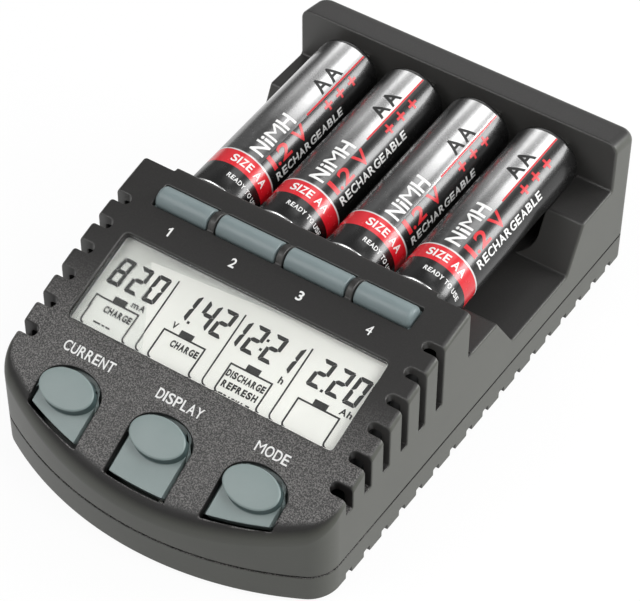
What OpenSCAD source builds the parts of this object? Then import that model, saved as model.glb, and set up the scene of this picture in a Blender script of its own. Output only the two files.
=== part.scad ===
// Desktop charger for four AA or AAA cells, with a sloping display and seven push buttons.
// Millimetres. X runs across the four cells, Y runs from the front to the rear, Z is up.
// The origin is on the table, under the middle of the case.

/* [Case] */
// Width of the case across the cells
body_w = 75; // [72:0.5:86]
// Length of the case from front to rear
body_l = 120.5; // [118:0.5:130]
// Height of the base tray, from its underside to the seam
base_h = 6.35; // [5.6:0.05:8]
// Radius of the curved front in plan
front_r = 71.7; // [60:0.1:90]
// Radius of the two front corners in plan
corner_r = 7; // [6:0.5:11]
// Radius of the two rear corners in plan
rear_corner_r = 3; // [2.5:0.5:6]
// Radius of the arched top, seen from the side
top_r = 160; // [140:1:200]
// Height of the arched top at its highest point, above the underside
top_peak_h = 37.9; // [37:0.1:42]
// Place of the highest point of the arch along Y
top_peak_y = 24.5; // [20:0.5:28]
// Thickness of the shell walls
wall = 2; // [1.6:0.1:2.2]
// Thickness of the base floor
floor_t = 1.8; // [1.4:0.1:2.2]
// Gap between the two halves of the case at the screw bosses
boss_gap = 0.2; // [0.1:0.05:0.4]

/* [Edges] */
// Rounding between the top and the curved front
front_edge_r = 3; // [2:0.1:3.4]
// Rounding along the two sides of the control panel
side_edge_r = 1.2; // [0.8:0.1:2]
// Rounding round the top of the rear block
block_edge_r = 2.5; // [2:0.1:3.5]

/* [Battery bay] */
// Rear face of the control panel, beside the contact rail
bay_front_y = -2.6; // [-4:0.1:-2]
// Front face of the rear block
bay_rear_y = 51.65; // [51:0.05:52]
// How far the contact rail stands out from the control panel
rail_t = 1.05; // [0.8:0.05:1.3]
// Length of the contact rail across the case
rail_w = 60; // [58:0.5:64]
// Height of the two ledges that carry the cells, above the underside
ledge_h = 23.4; // [22.6:0.1:24.4]
// Height of the finger recess floor, above the underside
sill_h = 12.9; // [12.4:0.1:13.6]
// Rear end of the front ledge
front_ledge_y = 7.85; // [7:0.05:9]
// Foot of the front slope
slope_y = 14.55; // [13:0.05:16]
// Foot of the rear ramp
ramp_y = 35.25; // [33:0.05:37]
// Front end of the rear ledge
rear_ledge_y = 40.35; // [39:0.05:42]
// Front end of the four narrow grooves for the small cells
small_groove_y = 5; // [4.4:0.1:5.6]

/* [Cells] */
// Distance between neighbouring cells
cell_pitch = 15.7; // [15:0.1:16.4]
// Diameter of a cell
cell_d = 14.2; // [13.5:0.1:14.5]
// Length of a cell over its terminals
cell_l = 50.5; // [49.2:0.1:50.5]
// Height of the cell axis at mid length, above the underside
cell_axis_h = 27.4; // [27:0.1:28.4]
// Tilt of the cells, rear end up
cell_tilt = 2; // [0:0.5:2.5]
// Diameter of the positive terminal
nub_d = 5.5; // [4.5:0.1:6.5]
// Height of the positive terminal
nub_h = 1.3; // [1:0.1:1.8]
// Rounding of the can at its positive end
cell_shoulder_r = 1.4; // [0.8:0.1:2]
// Gap between a cell and its cradle
cell_clear = 0.25; // [0.15:0.05:0.4]
// Width of a groove for a small cell
small_groove_w = 10.7; // [10.6:0.05:11.2]

/* [Contacts] */
// Thickness of the contact strip
contact_t = 0.4; // [0.3:0.05:0.5]
// Width of the positive plates
plate_w = 6.5; // [6:0.5:9]
// Width of the negative leaves
leaf_w = 6; // [5:0.5:8]
// Width of the soldered tails
tail_w = 3.2; // [2.4:0.1:4]
// Gap beside a contact, and between a contact and its cell
contact_gap = 0.12; // [0.1:0.02:0.2]

/* [Display] */
// Centre of the display along Y
lcd_y = -28.15; // [-29:0.05:-27.5]
// Width of the display opening
lcd_w = 60.2; // [56:0.1:61]
// Length of the display opening along the slope
lcd_l = 20.2; // [18:0.1:21]
// Rounding of the corners of the display opening
lcd_corner_r = 1; // [0.6:0.1:2]
// Depth of the clear window below the panel face
lcd_recess = 0.75; // [0.5:0.05:1]
// Gap round the window
window_clear = 0.15; // [0.1:0.05:0.3]
// Width of the flange round the window
window_flange = 2; // [1.2:0.1:2.2]
// Thickness of the window flange
window_flange_t = 0.7; // [0.5:0.05:0.8]
// Thickness of the liquid crystal glass
glass_t = 2.2; // [1.6:0.1:2.6]
// Width of each conductive rubber strip
strip_w = 1.8; // [1.4:0.1:2.4]

/* [Channel buttons] */
// Middle line of the four channel buttons along Y
channel_y = -8.6; // [-9.2:0.1:-8.4]
// Length of each channel button
channel_l = 13.5; // [12:0.1:13.8]
// How much shorter the first and the last channel button are
channel_trim = 1.2; // [0.4:0.1:1.6]
// Radius of the half round bar
channel_r = 2.4; // [2:0.1:2.6]
// Depth of the bar axis below the panel face
channel_sink = 0.6; // [0.4:0.1:1]
// Gap round each channel button
channel_clear = 0.35; // [0.3:0.05:0.45]
// Rounding of the two free ends of the row
channel_end_r = 1; // [0.6:0.1:1.4]

/* [Function buttons] */
// Middle of the three oval caps along Y
function_y = -49.05; // [-49.6:0.05:-48.6]
// Distance between neighbouring function buttons
function_pitch = 21; // [20.5:0.1:21.5]
// Width of the cap and its apron
function_w = 12; // [11:0.1:12.4]
// Length of the oval cap along the slope
cap_l = 7.8; // [7:0.1:8.6]
// Height of the cap above the panel face
cap_h = 1.8; // [1:0.1:2.4]
// Depth of the apron below the panel face
apron_recess = 0.5; // [0.3:0.05:0.7]
// Distance from the apron to the front of the case
apron_inset = 2.8; // [2.6:0.1:3.4]
// Gap round each function button
function_clear = 0.6; // [0.4:0.05:0.65]

/* [Button action] */
// Travel of every button
button_travel = 0.5; // [0.3:0.05:0.6]
// Width of the flange that keeps a button in
flange_w = 0.75; // [0.5:0.05:0.8]
// Thickness of that flange
flange_t = 0.85; // [0.6:0.05:1]
// Diameter of the stem under a button
stem_d = 3; // [2:0.1:4]
// Height of a switch with its plunger
switch_h = 2.6; // [2:0.1:2.8]

/* [Vents] */
// Distance between neighbouring vents
vent_pitch = 6; // [5:0.1:7]
// Width of a vent
vent_w = 2.45; // [1.8:0.05:3]
// Number of vents on each side of the control panel
panel_vents = 6; // [3:1:6]
// Front edge of the first vent in the panel
panel_vent_y = -43.8; // [-44.5:0.1:-42]
// Height of the panel vents' lower end, above the underside
panel_vent_h = 18.5; // [16:0.1:20]
// Reach of the panel vents into the top
panel_vent_in = 4.1; // [3:0.1:4.4]
// Number of vents along each side of the base
base_vents = 17; // [8:1:17]
// Middle of the first vent in the base
base_vent_y = -42.45; // [-43:0.05:-39]
// Height of the base vents
base_vent_h = 1.5; // [1:0.1:3]

/* [Boards] */
// Thickness of both circuit boards
board_t = 1.6; // [1:0.1:1.6]
// Depth of the control board below the panel face
board_depth = 9; // [8.6:0.1:9.2]
// Height of the main board above the floor
main_board_up = 2; // [1.6:0.1:2.4]
// Front end of the main board
main_board_y = -37; // [-39:0.5:-34]
// Gap between a board and the walls
board_clear = 0.5; // [0.4:0.1:1]
// Diameter of the board posts
post_d = 3.2; // [2.8:0.1:3.4]
// Diameter of the board screws
board_screw_d = 1.5; // [1.2:0.1:1.8]
// Length of the board screws under their heads
board_screw_l = 5; // [4:0.5:5.5]

/* [Power socket] */
// Place of the socket across the rear wall
jack_x = 0; // [-3:0.5:3]
// Bore of the socket
jack_bore_d = 6; // [5.6:0.1:6.4]
// Diameter of the centre pin
jack_pin_d = 2; // [1.6:0.1:2.5]
// Outer diameter of the socket collar
jack_collar_d = 7.8; // [7.4:0.1:8.2]
// Length of the socket body
jack_l = 11.5; // [10:0.5:13]
// Width of the socket body
jack_w = 9; // [8.5:0.1:10]

/* [Feet and screws] */
// Height of the feet below the underside
foot_h = 1; // [0.6:0.1:2]
// Diameter of the feet
foot_d = 9; // [7:0.5:10]
// Depth of the foot recesses
foot_recess = 0.6; // [0.4:0.1:0.8]
// Shank diameter of the case screws
screw_d = 2.5; // [2:0.1:3]
// Head diameter of the case screws
screw_head_d = 4.8; // [4:0.1:5.2]
// Length of the case screws under their heads
screw_l = 10; // [8:0.5:11]

/* [Hidden] */
CHANNELS = 4;
FUNCTIONS = ["current", "display", "mode"];

$fn = 72;
big_fn = 240;
tiny = 0.01;
high = 100;

// Colours of the materials
case_black = [0.19, 0.185, 0.18];
button_grey = [0.52, 0.58, 0.59];
board_green = [0.1, 0.35, 0.2];
metal_grey = [0.78, 0.78, 0.76];
part_black = [0.1, 0.1, 0.1];

// Levels of the case
half_w = body_w/2;
front_y = -body_l/2;
rear_y = body_l/2;
case_z = foot_h;
floor_z = case_z + floor_t;
seam_z = case_z + base_h;
ledge_z = case_z + ledge_h;
sill_z = case_z + sill_h;
tray_z = sill_z - wall;

// Plan of the case: one front arc, two front corners, two rear corners
front_cy = front_y + front_r;
corner_cx = half_w - corner_r;
corner_cy = front_cy - sqrt(pow(front_r - corner_r, 2) - pow(corner_cx, 2));
corner_angle = asin(corner_cx/(front_r - corner_r));
rear_cx = half_w - rear_corner_r;
rear_cy = rear_y - rear_corner_r;

// The arched top: its axis lies along X, and every button is pressed towards that axis
arch_z = case_z + top_peak_h - top_r;
function top_z(y, depth = 0) = arch_z + sqrt(pow(top_r - depth, 2) - pow(y - top_peak_y, 2));
function top_angle(y) = asin((y - top_peak_y)/top_r);

// Battery bay
rail_y = bay_front_y + rail_t;
bay_mid_y = (bay_front_y + bay_rear_y)/2;
small_r = small_groove_w/2;
small_axis_z = sill_z + small_r;
cell_r = cell_d/2;
cell_rim = 0.5;
cell_dish = 0.3;
cell_rear_y = bay_rear_y - contact_t - 3*contact_gap;
cell_front_y = cell_rear_y - cell_l;
cell_mid_y = cell_rear_y - cell_l/2;
cell_axis_z = case_z + cell_axis_h;
cell_front_z = cell_axis_z - tan(cell_tilt)*cell_l/2;
hollow_z = cell_front_z - cell_r - cell_clear - wall;
function cell_x(i) = (i - (CHANNELS - 1)/2)*cell_pitch;

// Display stack, below the panel face
window_step = wall + window_flange_t;
window_bottom = window_step + window_flange_t;
glass_gap = 0.1;
glass_top = window_bottom + glass_gap;
glass_bottom = glass_top + glass_t;
glass_w = lcd_w + window_flange;
glass_l = lcd_l + window_flange;
holder_rim = 2;
side_room = half_w - wall - window_clear;
flange_side = min(window_flange, side_room - lcd_w/2);
holder_side = min(holder_rim, side_room - window_clear - glass_w/2);

// Buttons: where their axes meet the control board, and how far down that is
inner_r = top_r - board_depth;
channel_turn = top_angle(channel_y) - top_angle(lcd_y);
function_turn = top_angle(function_y) - top_angle(lcd_y);
channel_drop = top_r - inner_r/cos(channel_turn);
function_drop = top_r - inner_r/cos(function_turn);
press_clear = 0.35;
press_gap = button_travel + press_clear;
flange_gap = 0.3;
flange_lip = flange_w/2;
switch_size = [6, 3];
plunger_d = 2.6;
plunger_h = 0.6;
flange_z = -(wall + flange_gap + flange_t);
channel_w = 2*sqrt(pow(channel_r, 2) - pow(channel_sink, 2));
function outer_side(i) = i == 0 ? -1 : i == CHANNELS - 1 ? 1 : 0;
function bar_l(i) = channel_l - abs(outer_side(i))*channel_trim;
function bar_shift(i) = -outer_side(i)*channel_trim/2;
function_cos = cos(top_angle(function_y));
apron_r = (front_r - apron_inset)/function_cos;
apron_front = (front_y + apron_inset - function_y)/function_cos;
function function_x(i) = (i - (len(FUNCTIONS) - 1)/2)*function_pitch;

// Boards and what they carry
main_board_z = floor_z + main_board_up;
main_top_z = main_board_z + board_t;
tail_end = 0.6;
tail_z = main_board_z - tail_end;
tail_slot = 2*contact_gap + contact_t;
tail_places = [rail_y, small_groove_y, bay_rear_y - tail_slot];
front_post = [function_pitch/2, inner_r*tan(function_turn)];
rear_post = [cell_pitch, (lcd_l + window_flange)/2 + holder_rim + window_clear + post_d/2];
main_post_in = 8.5;
main_post_front = 7;
main_post_rear = 13;
main_post_x = half_w - wall - main_post_in;
main_post_places = [main_board_y + main_post_front, bay_rear_y - main_post_rear];
main_post_d = post_d + 1;
screw_clear = 0.2;
thread_clear = 0.05;
board_bore_d = board_screw_d + 2*thread_clear;
board_head_d = 1.9*board_screw_d;
board_head_h = 1.1;
main_screw_l = board_t + main_board_up + floor_t/2 - 0.5;
inductor_size = [7.2, 7.2, 4];
inductor_d = 6.6;
inductor_base_h = 1;
inductor_y = 20;
transistor_size = [6.4, 5.8, 2.2];
transistor_tab = [5, 3.4, 0.6];
transistor_y = 31;
chip_size = [12, 12, 1.6];
chip_mark_d = 1.4;
chip_mark_h = 0.2;
chip_place = [0, -27];
capacitor_d = 8;
capacitor_h = 11.5;
capacitor_place = [20, -13];
cable_w = 16;
cable_t = 0.3;
connector_size = [19, 4, 2.4];
connector_y = 6;

// Power socket, level with the seam
jack_clear = 0.15;
jack_end_y = rear_y - wall - jack_clear;
jack_half_h = min(seam_z - floor_z, tray_z - seam_z) - jack_clear;
jack_collar_y = rear_y - 2*jack_clear;
jack_bore_l = jack_l - 2;
jack_pin_l = jack_bore_l - 1.5;

// Case screws and feet
boss_d = 5.5;
well_d = screw_head_d + 2*screw_clear;
well_h = 3;
screw_head_h = 1.9;
screw_bore_d = screw_d + 2*thread_clear;
base_boss_d = well_d + 2;
base_vent_in = half_w - wall - 1.1;
boss_air = 0.85;
boss_shift = 0.3;
rear_boss_in = 5;
front_boss = [half_w - panel_vent_in - boss_d/2 - boss_air, panel_vent_y + boss_shift];
rear_boss = [base_vent_in - base_boss_d/2, bay_rear_y - rear_boss_in];
foot_clear = 0.1;
front_foot = [function_pitch - 3, front_y + 10.25];
rear_foot = [cell_pitch + 4.3, rear_y - 6.25];

// Helpers

// Both sides of the case
module both_sides() {
    children();
    mirror([1, 0, 0]) children();
}

// Stands its children on the panel face at a place along Y, with the face normal as up
module on_top(y) {
    translate([0, top_peak_y, arch_z])
        rotate([-top_angle(y), 0, 0])
            translate([0, 0, top_r]) children();
}

// Stands its children on the upper face of the control board
module on_control_board() {
    on_top(lcd_y) translate([0, 0, -board_depth]) children();
}

// Lays its children along the axis of a cell
module at_cell(i) {
    translate([cell_x(i), cell_mid_y, cell_axis_z]) rotate([cell_tilt, 0, 0]) children();
}

// Extrudes a side view, drawn as Y and Z, evenly to both sides of the middle
module across(width) {
    rotate([90, 0, 90]) linear_extrude(width, center = true) children();
}

module block(size, z = 0) {
    translate([-size[0]/2, -size[1]/2, z]) cube(size);
}

// A block with its four upright edges rounded
module soft_block(size, r, z) {
    translate([0, 0, z]) linear_extrude(size[2]) {
        square([size[0] - 2*r, size[1]], center = true);
        square([size[0], size[1] - 2*r], center = true);
        for (x = [-1, 1]) for (y = [-1, 1])
            translate([x*(size[0]/2 - r), y*(size[1]/2 - r)]) circle(r);
    }
}

// Outline of the case in plan, moved in by a distance
module plan(inset = 0) {
    side_x = half_w - inset;
    reach = 1.5;
    translate([-side_x, corner_cy]) square([2*side_x, rear_cy - corner_cy]);
    translate([-rear_cx, corner_cy]) square([2*rear_cx, rear_y - inset - corner_cy]);
    both_sides() {
        translate([rear_cx, rear_cy]) circle(max(rear_corner_r - inset, tiny));
        translate([corner_cx, corner_cy]) circle(max(corner_r - inset, tiny));
    }
    intersection() {
        translate([0, front_cy]) circle(front_r - inset, $fn = big_fn);
        polygon([
            [0, front_cy],
            [reach*corner_cx, front_cy + reach*(corner_cy - front_cy)],
            [-reach*corner_cx, front_cy + reach*(corner_cy - front_cy)]
        ]);
    }
}

function ellipse_points(a, b, n = 64) = [for (k = [0:n - 1]) [a*cos(360*k/n), b*sin(360*k/n)]];

// Outline of a bent strip of even thickness, from the points along its middle
function unit(v) = v/norm(v);
function left_of(v) = [-v[1], v[0]];
function bend_normal(path, k) =
    let(last = len(path) - 1)
    let(before = unit(path[max(k, 1)] - path[max(k, 1) - 1]))
    let(after = unit(path[min(k, last - 1) + 1] - path[min(k, last - 1)]))
    let(middle = unit(left_of(before) + left_of(after)))
    middle/(middle*left_of(before));
function strip(path, t) = concat(
    [for (k = [0:len(path) - 1]) path[k] + bend_normal(path, k)*t/2],
    [for (k = [len(path) - 1:-1:0]) path[k] - bend_normal(path, k)*t/2]
);

// The moulded upper shell: a loft of the plan, moved in by a distance, whose edge rounds over to the arch.
// Each point of the half outline holds its place, its outward direction and its edge radius.
arc_steps = 12;
corner_steps = 6;
side_steps = 18;
rear_steps = 5;
edge_steps = 5;
inner_edge_r = 0.4;
rear_edge_r = min(block_edge_r, rear_corner_r - 0.5);
function outline_point(center, r, a, edge_r) =
    [center[0] + r*sin(a), center[1] - r*cos(a), sin(a), -cos(a), edge_r];
half_outline = concat(
    [for (k = [0:arc_steps]) outline_point([0, front_cy], front_r, k*corner_angle/arc_steps, front_edge_r)],
    [for (k = [1:corner_steps])
        let(share = k/corner_steps)
        let(edge_r = front_edge_r + (side_edge_r - front_edge_r)*share)
        outline_point([corner_cx, corner_cy], corner_r, corner_angle + (90 - corner_angle)*share, edge_r)],
    [for (k = [1:side_steps])
        let(y = corner_cy + (rear_cy - corner_cy)*k/side_steps)
        [half_w, y, 1, 0, y < bay_mid_y ? side_edge_r : rear_edge_r]],
    [for (k = [1:rear_steps])
        let(a = 90 + 90*k/rear_steps)
        outline_point([rear_cx, rear_cy], rear_corner_r, a, rear_edge_r)]
);
half_count = len(half_outline);
outline = concat(
    half_outline,
    [for (k = [half_count - 1:-1:1]) let(p = half_outline[k]) [-p[0], p[1], -p[2], p[3], p[4]]]
);
count = len(outline);
function loft_point(p, inset, turn) =
    let(edge_r = max(p[4] - inset, inner_edge_r))
    let(inward = inset + edge_r*(1 - cos(turn)))
    let(y = p[1] - p[3]*inward)
    [p[0] - p[2]*inward, y, top_z(y, inset) - edge_r*(1 - sin(turn))];

module loft(inset, bottom_z, steps) {
    rings = steps + 2;
    top = (rings - 1)*count;
    points = concat(
        [for (p = outline) [p[0] - p[2]*inset, p[1] - p[3]*inset, bottom_z]],
        [for (k = [0:steps]) for (p = outline) loft_point(p, inset, 90*k/steps)]
    );
    walls = [for (k = [0:rings - 2]) for (i = [0:count - 1])
        let(next = (i + 1)%count)
        [k*count + i, (k + 1)*count + i, (k + 1)*count + next, k*count + next]];
    roof = [for (k = [1:half_count - 2]) [top + count - k, top + count - k - 1, top + k + 1, top + k]];
    nose = [[top, top + count - 1, top + 1]];
    polyhedron(points, concat([[for (i = [0:count - 1]) i]], walls, roof, nose));
}

module moulded_skin() {
    loft(0, seam_z, edge_steps);
}

// The hollow of the upper shell: under the arch, in front of, under and behind the battery bay
module upper_hollow() {
    difference() {
        loft(wall, seam_z - 1, 1);
        across(body_w) polygon([
            [bay_front_y - wall, high], [bay_front_y - wall, hollow_z], [small_groove_y - wall, hollow_z],
            [small_groove_y - wall, tray_z], [bay_rear_y + wall, tray_z], [bay_rear_y + wall, high]
        ]);
    }
}

// The battery bay: a channel across the case with a ledge at each end and a finger recess between
module battery_bay() {
    across(body_w + 2) polygon([
        [rail_y, high], [rail_y, ledge_z], [front_ledge_y, ledge_z], [slope_y, sill_z],
        [ramp_y, sill_z], [rear_ledge_y, ledge_z], [bay_rear_y, ledge_z], [bay_rear_y, high]
    ]);
    both_sides() translate([rail_w/2, bay_front_y, ledge_z])
        cube([half_w - rail_w/2 + 1, rail_t + tiny, high]);
}

// The cradle of one cell: a round seat for the large size over a narrow groove for the small size
module cradle(i) {
    intersection() {
        at_cell(i) rotate([90, 0, 0])
            cylinder(r = cell_r + cell_clear, h = 2*cell_l, center = true);
        translate([-half_w, rail_y, 0]) cube([body_w, bay_rear_y - rail_y, high]);
    }
    translate([cell_x(i), small_groove_y, small_axis_z]) {
        rotate([-90, 0, 0]) cylinder(r = small_r, h = bay_rear_y - small_groove_y);
        translate([-small_r, 0, 0])
            cube([small_groove_w, bay_rear_y - small_groove_y, ledge_z - small_axis_z + 1]);
    }
}

// Slots for the three contact tails of one cell, through a floor between two heights
module tail_slots(i, low, high) {
    for (y = tail_places) translate([cell_x(i), y + tail_slot/2, 0])
        block([tail_w + 2*contact_gap, tail_slot, high - low], low);
}

module panel_vents() {
    both_sides() for (k = [0:panel_vents - 1])
        translate([half_w - panel_vent_in, panel_vent_y + k*vent_pitch, 0]) {
            translate([vent_w/2, 0, case_z + panel_vent_h]) cube([panel_vent_in, vent_w, high]);
            translate([vent_w/2, vent_w/2, case_z + panel_vent_h]) cylinder(d = vent_w, h = high);
        }
}

// Outline of a function button, drawn on the sloping face round the middle of its cap
module function_outline(i, grow = 0, front_grow = 0) {
    a = function_w/2 + grow;
    intersection() {
        union() {
            polygon(ellipse_points(a, cap_l/2 + grow));
            translate([-a, -high]) square([2*a, high]);
        }
        translate([-function_x(i), apron_front + apron_r]) circle(apron_r + front_grow, $fn = big_fn);
    }
}

// A half round rib between two channel buttons
module channel_rib() {
    intersection() {
        rotate([0, 90, 0])
            cylinder(r = channel_r, h = cell_pitch - channel_l - 2*channel_clear, center = true);
        block([cell_pitch, 2*channel_r, channel_r]);
    }
}

module case_boss_places() {
    both_sides() {
        translate(front_boss) children();
        translate(rear_boss) children();
    }
}

module control_post_places() {
    both_sides() for (p = [front_post, rear_post]) translate(p) children();
}

function post_h(y) = board_depth - (top_r - sqrt(pow(top_r, 2) - pow(y, 2))) - wall/2;

module jack_hole() {
    translate([jack_x, rear_y - 2*wall, seam_z]) rotate([-90, 0, 0])
        cylinder(d = jack_collar_d + 2*jack_clear, h = 3*wall);
}

// Case

module base_shell() {
    color(case_black) difference() {
        union() {
            difference() {
                translate([0, 0, case_z]) linear_extrude(base_h) plan();
                translate([0, 0, floor_z]) linear_extrude(base_h) plan(wall);
            }
            case_boss_places() translate([0, 0, case_z]) cylinder(d = base_boss_d, h = base_h - boss_gap);
            both_sides() for (y = main_post_places)
                translate([main_post_x, y, case_z]) cylinder(d = main_post_d, h = main_board_z - case_z);
        }
        case_boss_places() {
            translate([0, 0, case_z - 1]) cylinder(d = well_d, h = well_h + 1);
            cylinder(d = screw_d + 2*screw_clear, h = high);
        }
        both_sides() {
            for (y = main_post_places)
                translate([main_post_x, y, main_top_z - main_screw_l - thread_clear])
                    cylinder(d = board_bore_d, h = main_screw_l);
            for (p = [front_foot, rear_foot])
                translate([p[0], p[1], 0]) cylinder(d = foot_d + 2*foot_clear, h = foot_h + foot_recess);
            for (k = [0:base_vents - 1])
                translate([base_vent_in, base_vent_y + k*vent_pitch - vent_w/2, 0])
                    cube([body_w, vent_w, case_z + base_vent_h]);
        }
        jack_hole();
    }
}

module top_shell() {
    color(case_black) difference() {
        union() {
            difference() {
                moulded_skin();
                upper_hollow();
            }
            both_sides() {
                translate([front_boss[0], front_boss[1], seam_z])
                    cylinder(d = boss_d, h = top_z(front_boss[1]) - wall/2 - 1 - seam_z);
                translate([rear_boss[0], rear_boss[1], seam_z]) cylinder(d = boss_d, h = tray_z - seam_z + 1);
                for (p = [front_post, rear_post])
                    on_control_board() translate([p[0], p[1], 0]) cylinder(d = post_d, h = post_h(p[1]));
            }
            on_top(channel_y) for (i = [1:CHANNELS - 1])
                translate([(cell_x(i - 1) + cell_x(i))/2, 0, -channel_sink]) channel_rib();
        }
        battery_bay();
        for (i = [0:CHANNELS - 1]) {
            cradle(i);
            tail_slots(i, tray_z - 1, ledge_z);
        }
        on_top(lcd_y) soft_block([lcd_w, lcd_l, high], lcd_corner_r, -2*wall);
        on_top(channel_y) for (i = [0:CHANNELS - 1])
            translate([cell_x(i) + bar_shift(i), 0, 0])
                block([bar_l(i) + 2*channel_clear, channel_w + 2*channel_clear, high], -3*wall);
        on_top(function_y) for (i = [0:len(FUNCTIONS) - 1])
            translate([function_x(i), 0, -2*wall]) linear_extrude(high)
                function_outline(i, function_clear, function_clear);
        panel_vents();
        case_boss_places() translate([0, 0, seam_z - 1]) cylinder(d = screw_bore_d, h = screw_l);
        on_control_board() control_post_places()
            translate([0, 0, -board_t]) cylinder(d = board_bore_d, h = board_screw_l + thread_clear);
        jack_hole();
    }
}

module rubber_feet() {
    color(part_black) both_sides() for (p = [front_foot, rear_foot])
        translate([p[0], p[1], 0]) cylinder(d = foot_d, h = foot_h + foot_recess);
}

module case_screws() {
    color(metal_grey) case_boss_places() {
        translate([0, 0, case_z + well_h - screw_head_h]) cylinder(d = screw_head_d, h = screw_head_h);
        translate([0, 0, case_z + well_h]) cylinder(d = screw_d, h = screw_l);
    }
}

// Display

module lcd_window() {
    size = [lcd_w - 2*window_clear, lcd_l - 2*window_clear];
    color([0.8, 0.85, 0.85, 0.5]) on_top(lcd_y) {
        soft_block([size[0], size[1], window_step - lcd_recess], lcd_corner_r - window_clear, -window_step);
        block([lcd_w + 2*flange_side, lcd_l + 2*window_flange, window_flange_t], -window_bottom);
    }
}

module lcd_panel() {
    color([0.88, 0.88, 0.84]) on_top(lcd_y) block([glass_w, glass_l, glass_t], -glass_bottom);
}

module lcd_holder() {
    gap = 2*window_clear;
    color(part_black) on_control_board() difference() {
        block([glass_w + gap + 2*holder_side, glass_l + gap + 2*holder_rim, board_depth - glass_top]);
        block([glass_w + gap, glass_l + gap, high], -1);
    }
}

module lcd_connector_strips() {
    color([0.85, 0.6, 0.65]) on_control_board() for (s = [-1, 1])
        translate([0, s*(glass_l - strip_w)/2, 0])
            block([glass_w - 2*strip_w, strip_w, board_depth - glass_bottom]);
}

// Boards and what they carry

module control_board() {
    reach = inner_r*tan(channel_turn) + switch_size[1]/2;
    color(board_green) difference() {
        intersection() {
            on_control_board() translate([-half_w, -half_w, -board_t])
                cube([body_w, half_w + reach, board_t]);
            linear_extrude(high) plan(wall + board_clear);
        }
        both_sides() translate([front_boss[0], front_boss[1], 0])
            cylinder(d = boss_d + 2*board_clear, h = high);
        on_control_board() control_post_places()
            cylinder(d = board_screw_d + 2*screw_clear, h = 3*board_t, center = true);
    }
}

module main_board() {
    color(board_green) translate([0, 0, main_board_z]) difference() {
        intersection() {
            linear_extrude(board_t) plan(wall + board_clear);
            translate([-half_w, main_board_y, 0]) cube([body_w, body_l, board_t]);
        }
        case_boss_places() cylinder(d = base_boss_d + 2*board_clear, h = high, center = true);
        both_sides() for (y = main_post_places)
            translate([main_post_x, y, 0])
                cylinder(d = board_screw_d + 2*screw_clear, h = high, center = true);
        translate([jack_x, jack_end_y, 0])
            block([jack_w + 2*board_clear, 2*(jack_l + board_clear), 2*board_t], -board_t/2);
        for (i = [0:CHANNELS - 1]) tail_slots(i, -1, board_t + 1);
    }
}

module board_screws() {
    color(metal_grey) {
        on_control_board() control_post_places() {
            translate([0, 0, -board_t - board_head_h]) cylinder(d = board_head_d, h = board_head_h);
            translate([0, 0, -board_t]) cylinder(d = board_screw_d, h = board_screw_l);
        }
        both_sides() for (y = main_post_places)
            translate([main_post_x, y, main_top_z]) {
                cylinder(d = board_head_d, h = board_head_h);
                translate([0, 0, -main_screw_l]) cylinder(d = board_screw_d, h = main_screw_l);
            }
    }
}

module tact_switch() {
    color(part_black) {
        block([switch_size[0], switch_size[1], switch_h - plunger_h]);
        cylinder(d = plunger_d, h = switch_h);
    }
}

module tact_switches() {
    on_control_board() {
        for (i = [0:CHANNELS - 1])
            translate([cell_x(i), inner_r*tan(channel_turn), 0]) tact_switch();
        for (i = [0:len(FUNCTIONS) - 1])
            translate([function_x(i), inner_r*tan(function_turn), 0]) tact_switch();
    }
}

module controller_chip() {
    color(part_black) translate([chip_place[0], chip_place[1], main_top_z]) difference() {
        block(chip_size);
        translate([chip_mark_d - chip_size[0]/2, chip_size[1]/2 - chip_mark_d, chip_size[2] - chip_mark_h])
            cylinder(d = chip_mark_d, h = chip_size[2]);
    }
}

module power_inductors() {
    color(part_black) for (i = [0:CHANNELS - 1]) translate([cell_x(i), inductor_y, main_top_z]) {
        block([inductor_size[0], inductor_size[1], inductor_base_h]);
        cylinder(d = inductor_d, h = inductor_size[2]);
    }
}

module power_transistors() {
    color(part_black) for (i = [0:CHANNELS - 1]) translate([cell_x(i), transistor_y, main_top_z]) {
        block(transistor_size);
        translate([0, transistor_size[1]/2, 0]) block(transistor_tab);
    }
}

module filter_capacitors() {
    color([0.15, 0.2, 0.35]) both_sides()
        translate([capacitor_place[0], capacitor_place[1], main_top_z])
            cylinder(d = capacitor_d, h = capacitor_h);
}

// Ends of the flat cable: under the control board and on the main board
cable_turn = -top_angle(lcd_y);
cable_start_r = inner_r - board_t - connector_size[2];
cable_start = [
    top_peak_y + connector_y*cos(cable_turn) - cable_start_r*sin(cable_turn),
    arch_z + connector_y*sin(cable_turn) + cable_start_r*cos(cable_turn)
];
cable_end = [cable_start[0] + 3, main_top_z + connector_size[2]];

module flat_cable() {
    lead = 2.5;
    color([0.8, 0.8, 0.75]) across(cable_w) polygon(strip([
        cable_start,
        cable_start + lead*[sin(cable_turn), -cos(cable_turn)],
        cable_end + [0, lead],
        cable_end
    ], cable_t));
}

module cable_connectors() {
    color([0.85, 0.82, 0.72]) {
        on_control_board() translate([0, connector_y, -board_t - connector_size[2]]) block(connector_size);
        translate([0, cable_end[0], main_top_z]) block(connector_size);
    }
}

// Power socket

module dc_jack() {
    color(part_black) translate([jack_x, 0, seam_z]) difference() {
        union() {
            translate([-jack_w/2, jack_end_y - jack_l, -jack_half_h]) cube([jack_w, jack_l, 2*jack_half_h]);
            translate([0, jack_end_y - 1, 0]) rotate([-90, 0, 0])
                cylinder(d = jack_collar_d, h = jack_collar_y - jack_end_y + 1);
        }
        translate([0, jack_collar_y - jack_bore_l, 0]) rotate([-90, 0, 0])
            cylinder(d = jack_bore_d, h = jack_bore_l + 1);
    }
}

module jack_pin() {
    color(metal_grey) translate([jack_x, jack_collar_y - jack_bore_l, seam_z]) rotate([-90, 0, 0])
        cylinder(d = jack_pin_d, h = jack_pin_l);
}

// Contacts

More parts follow.
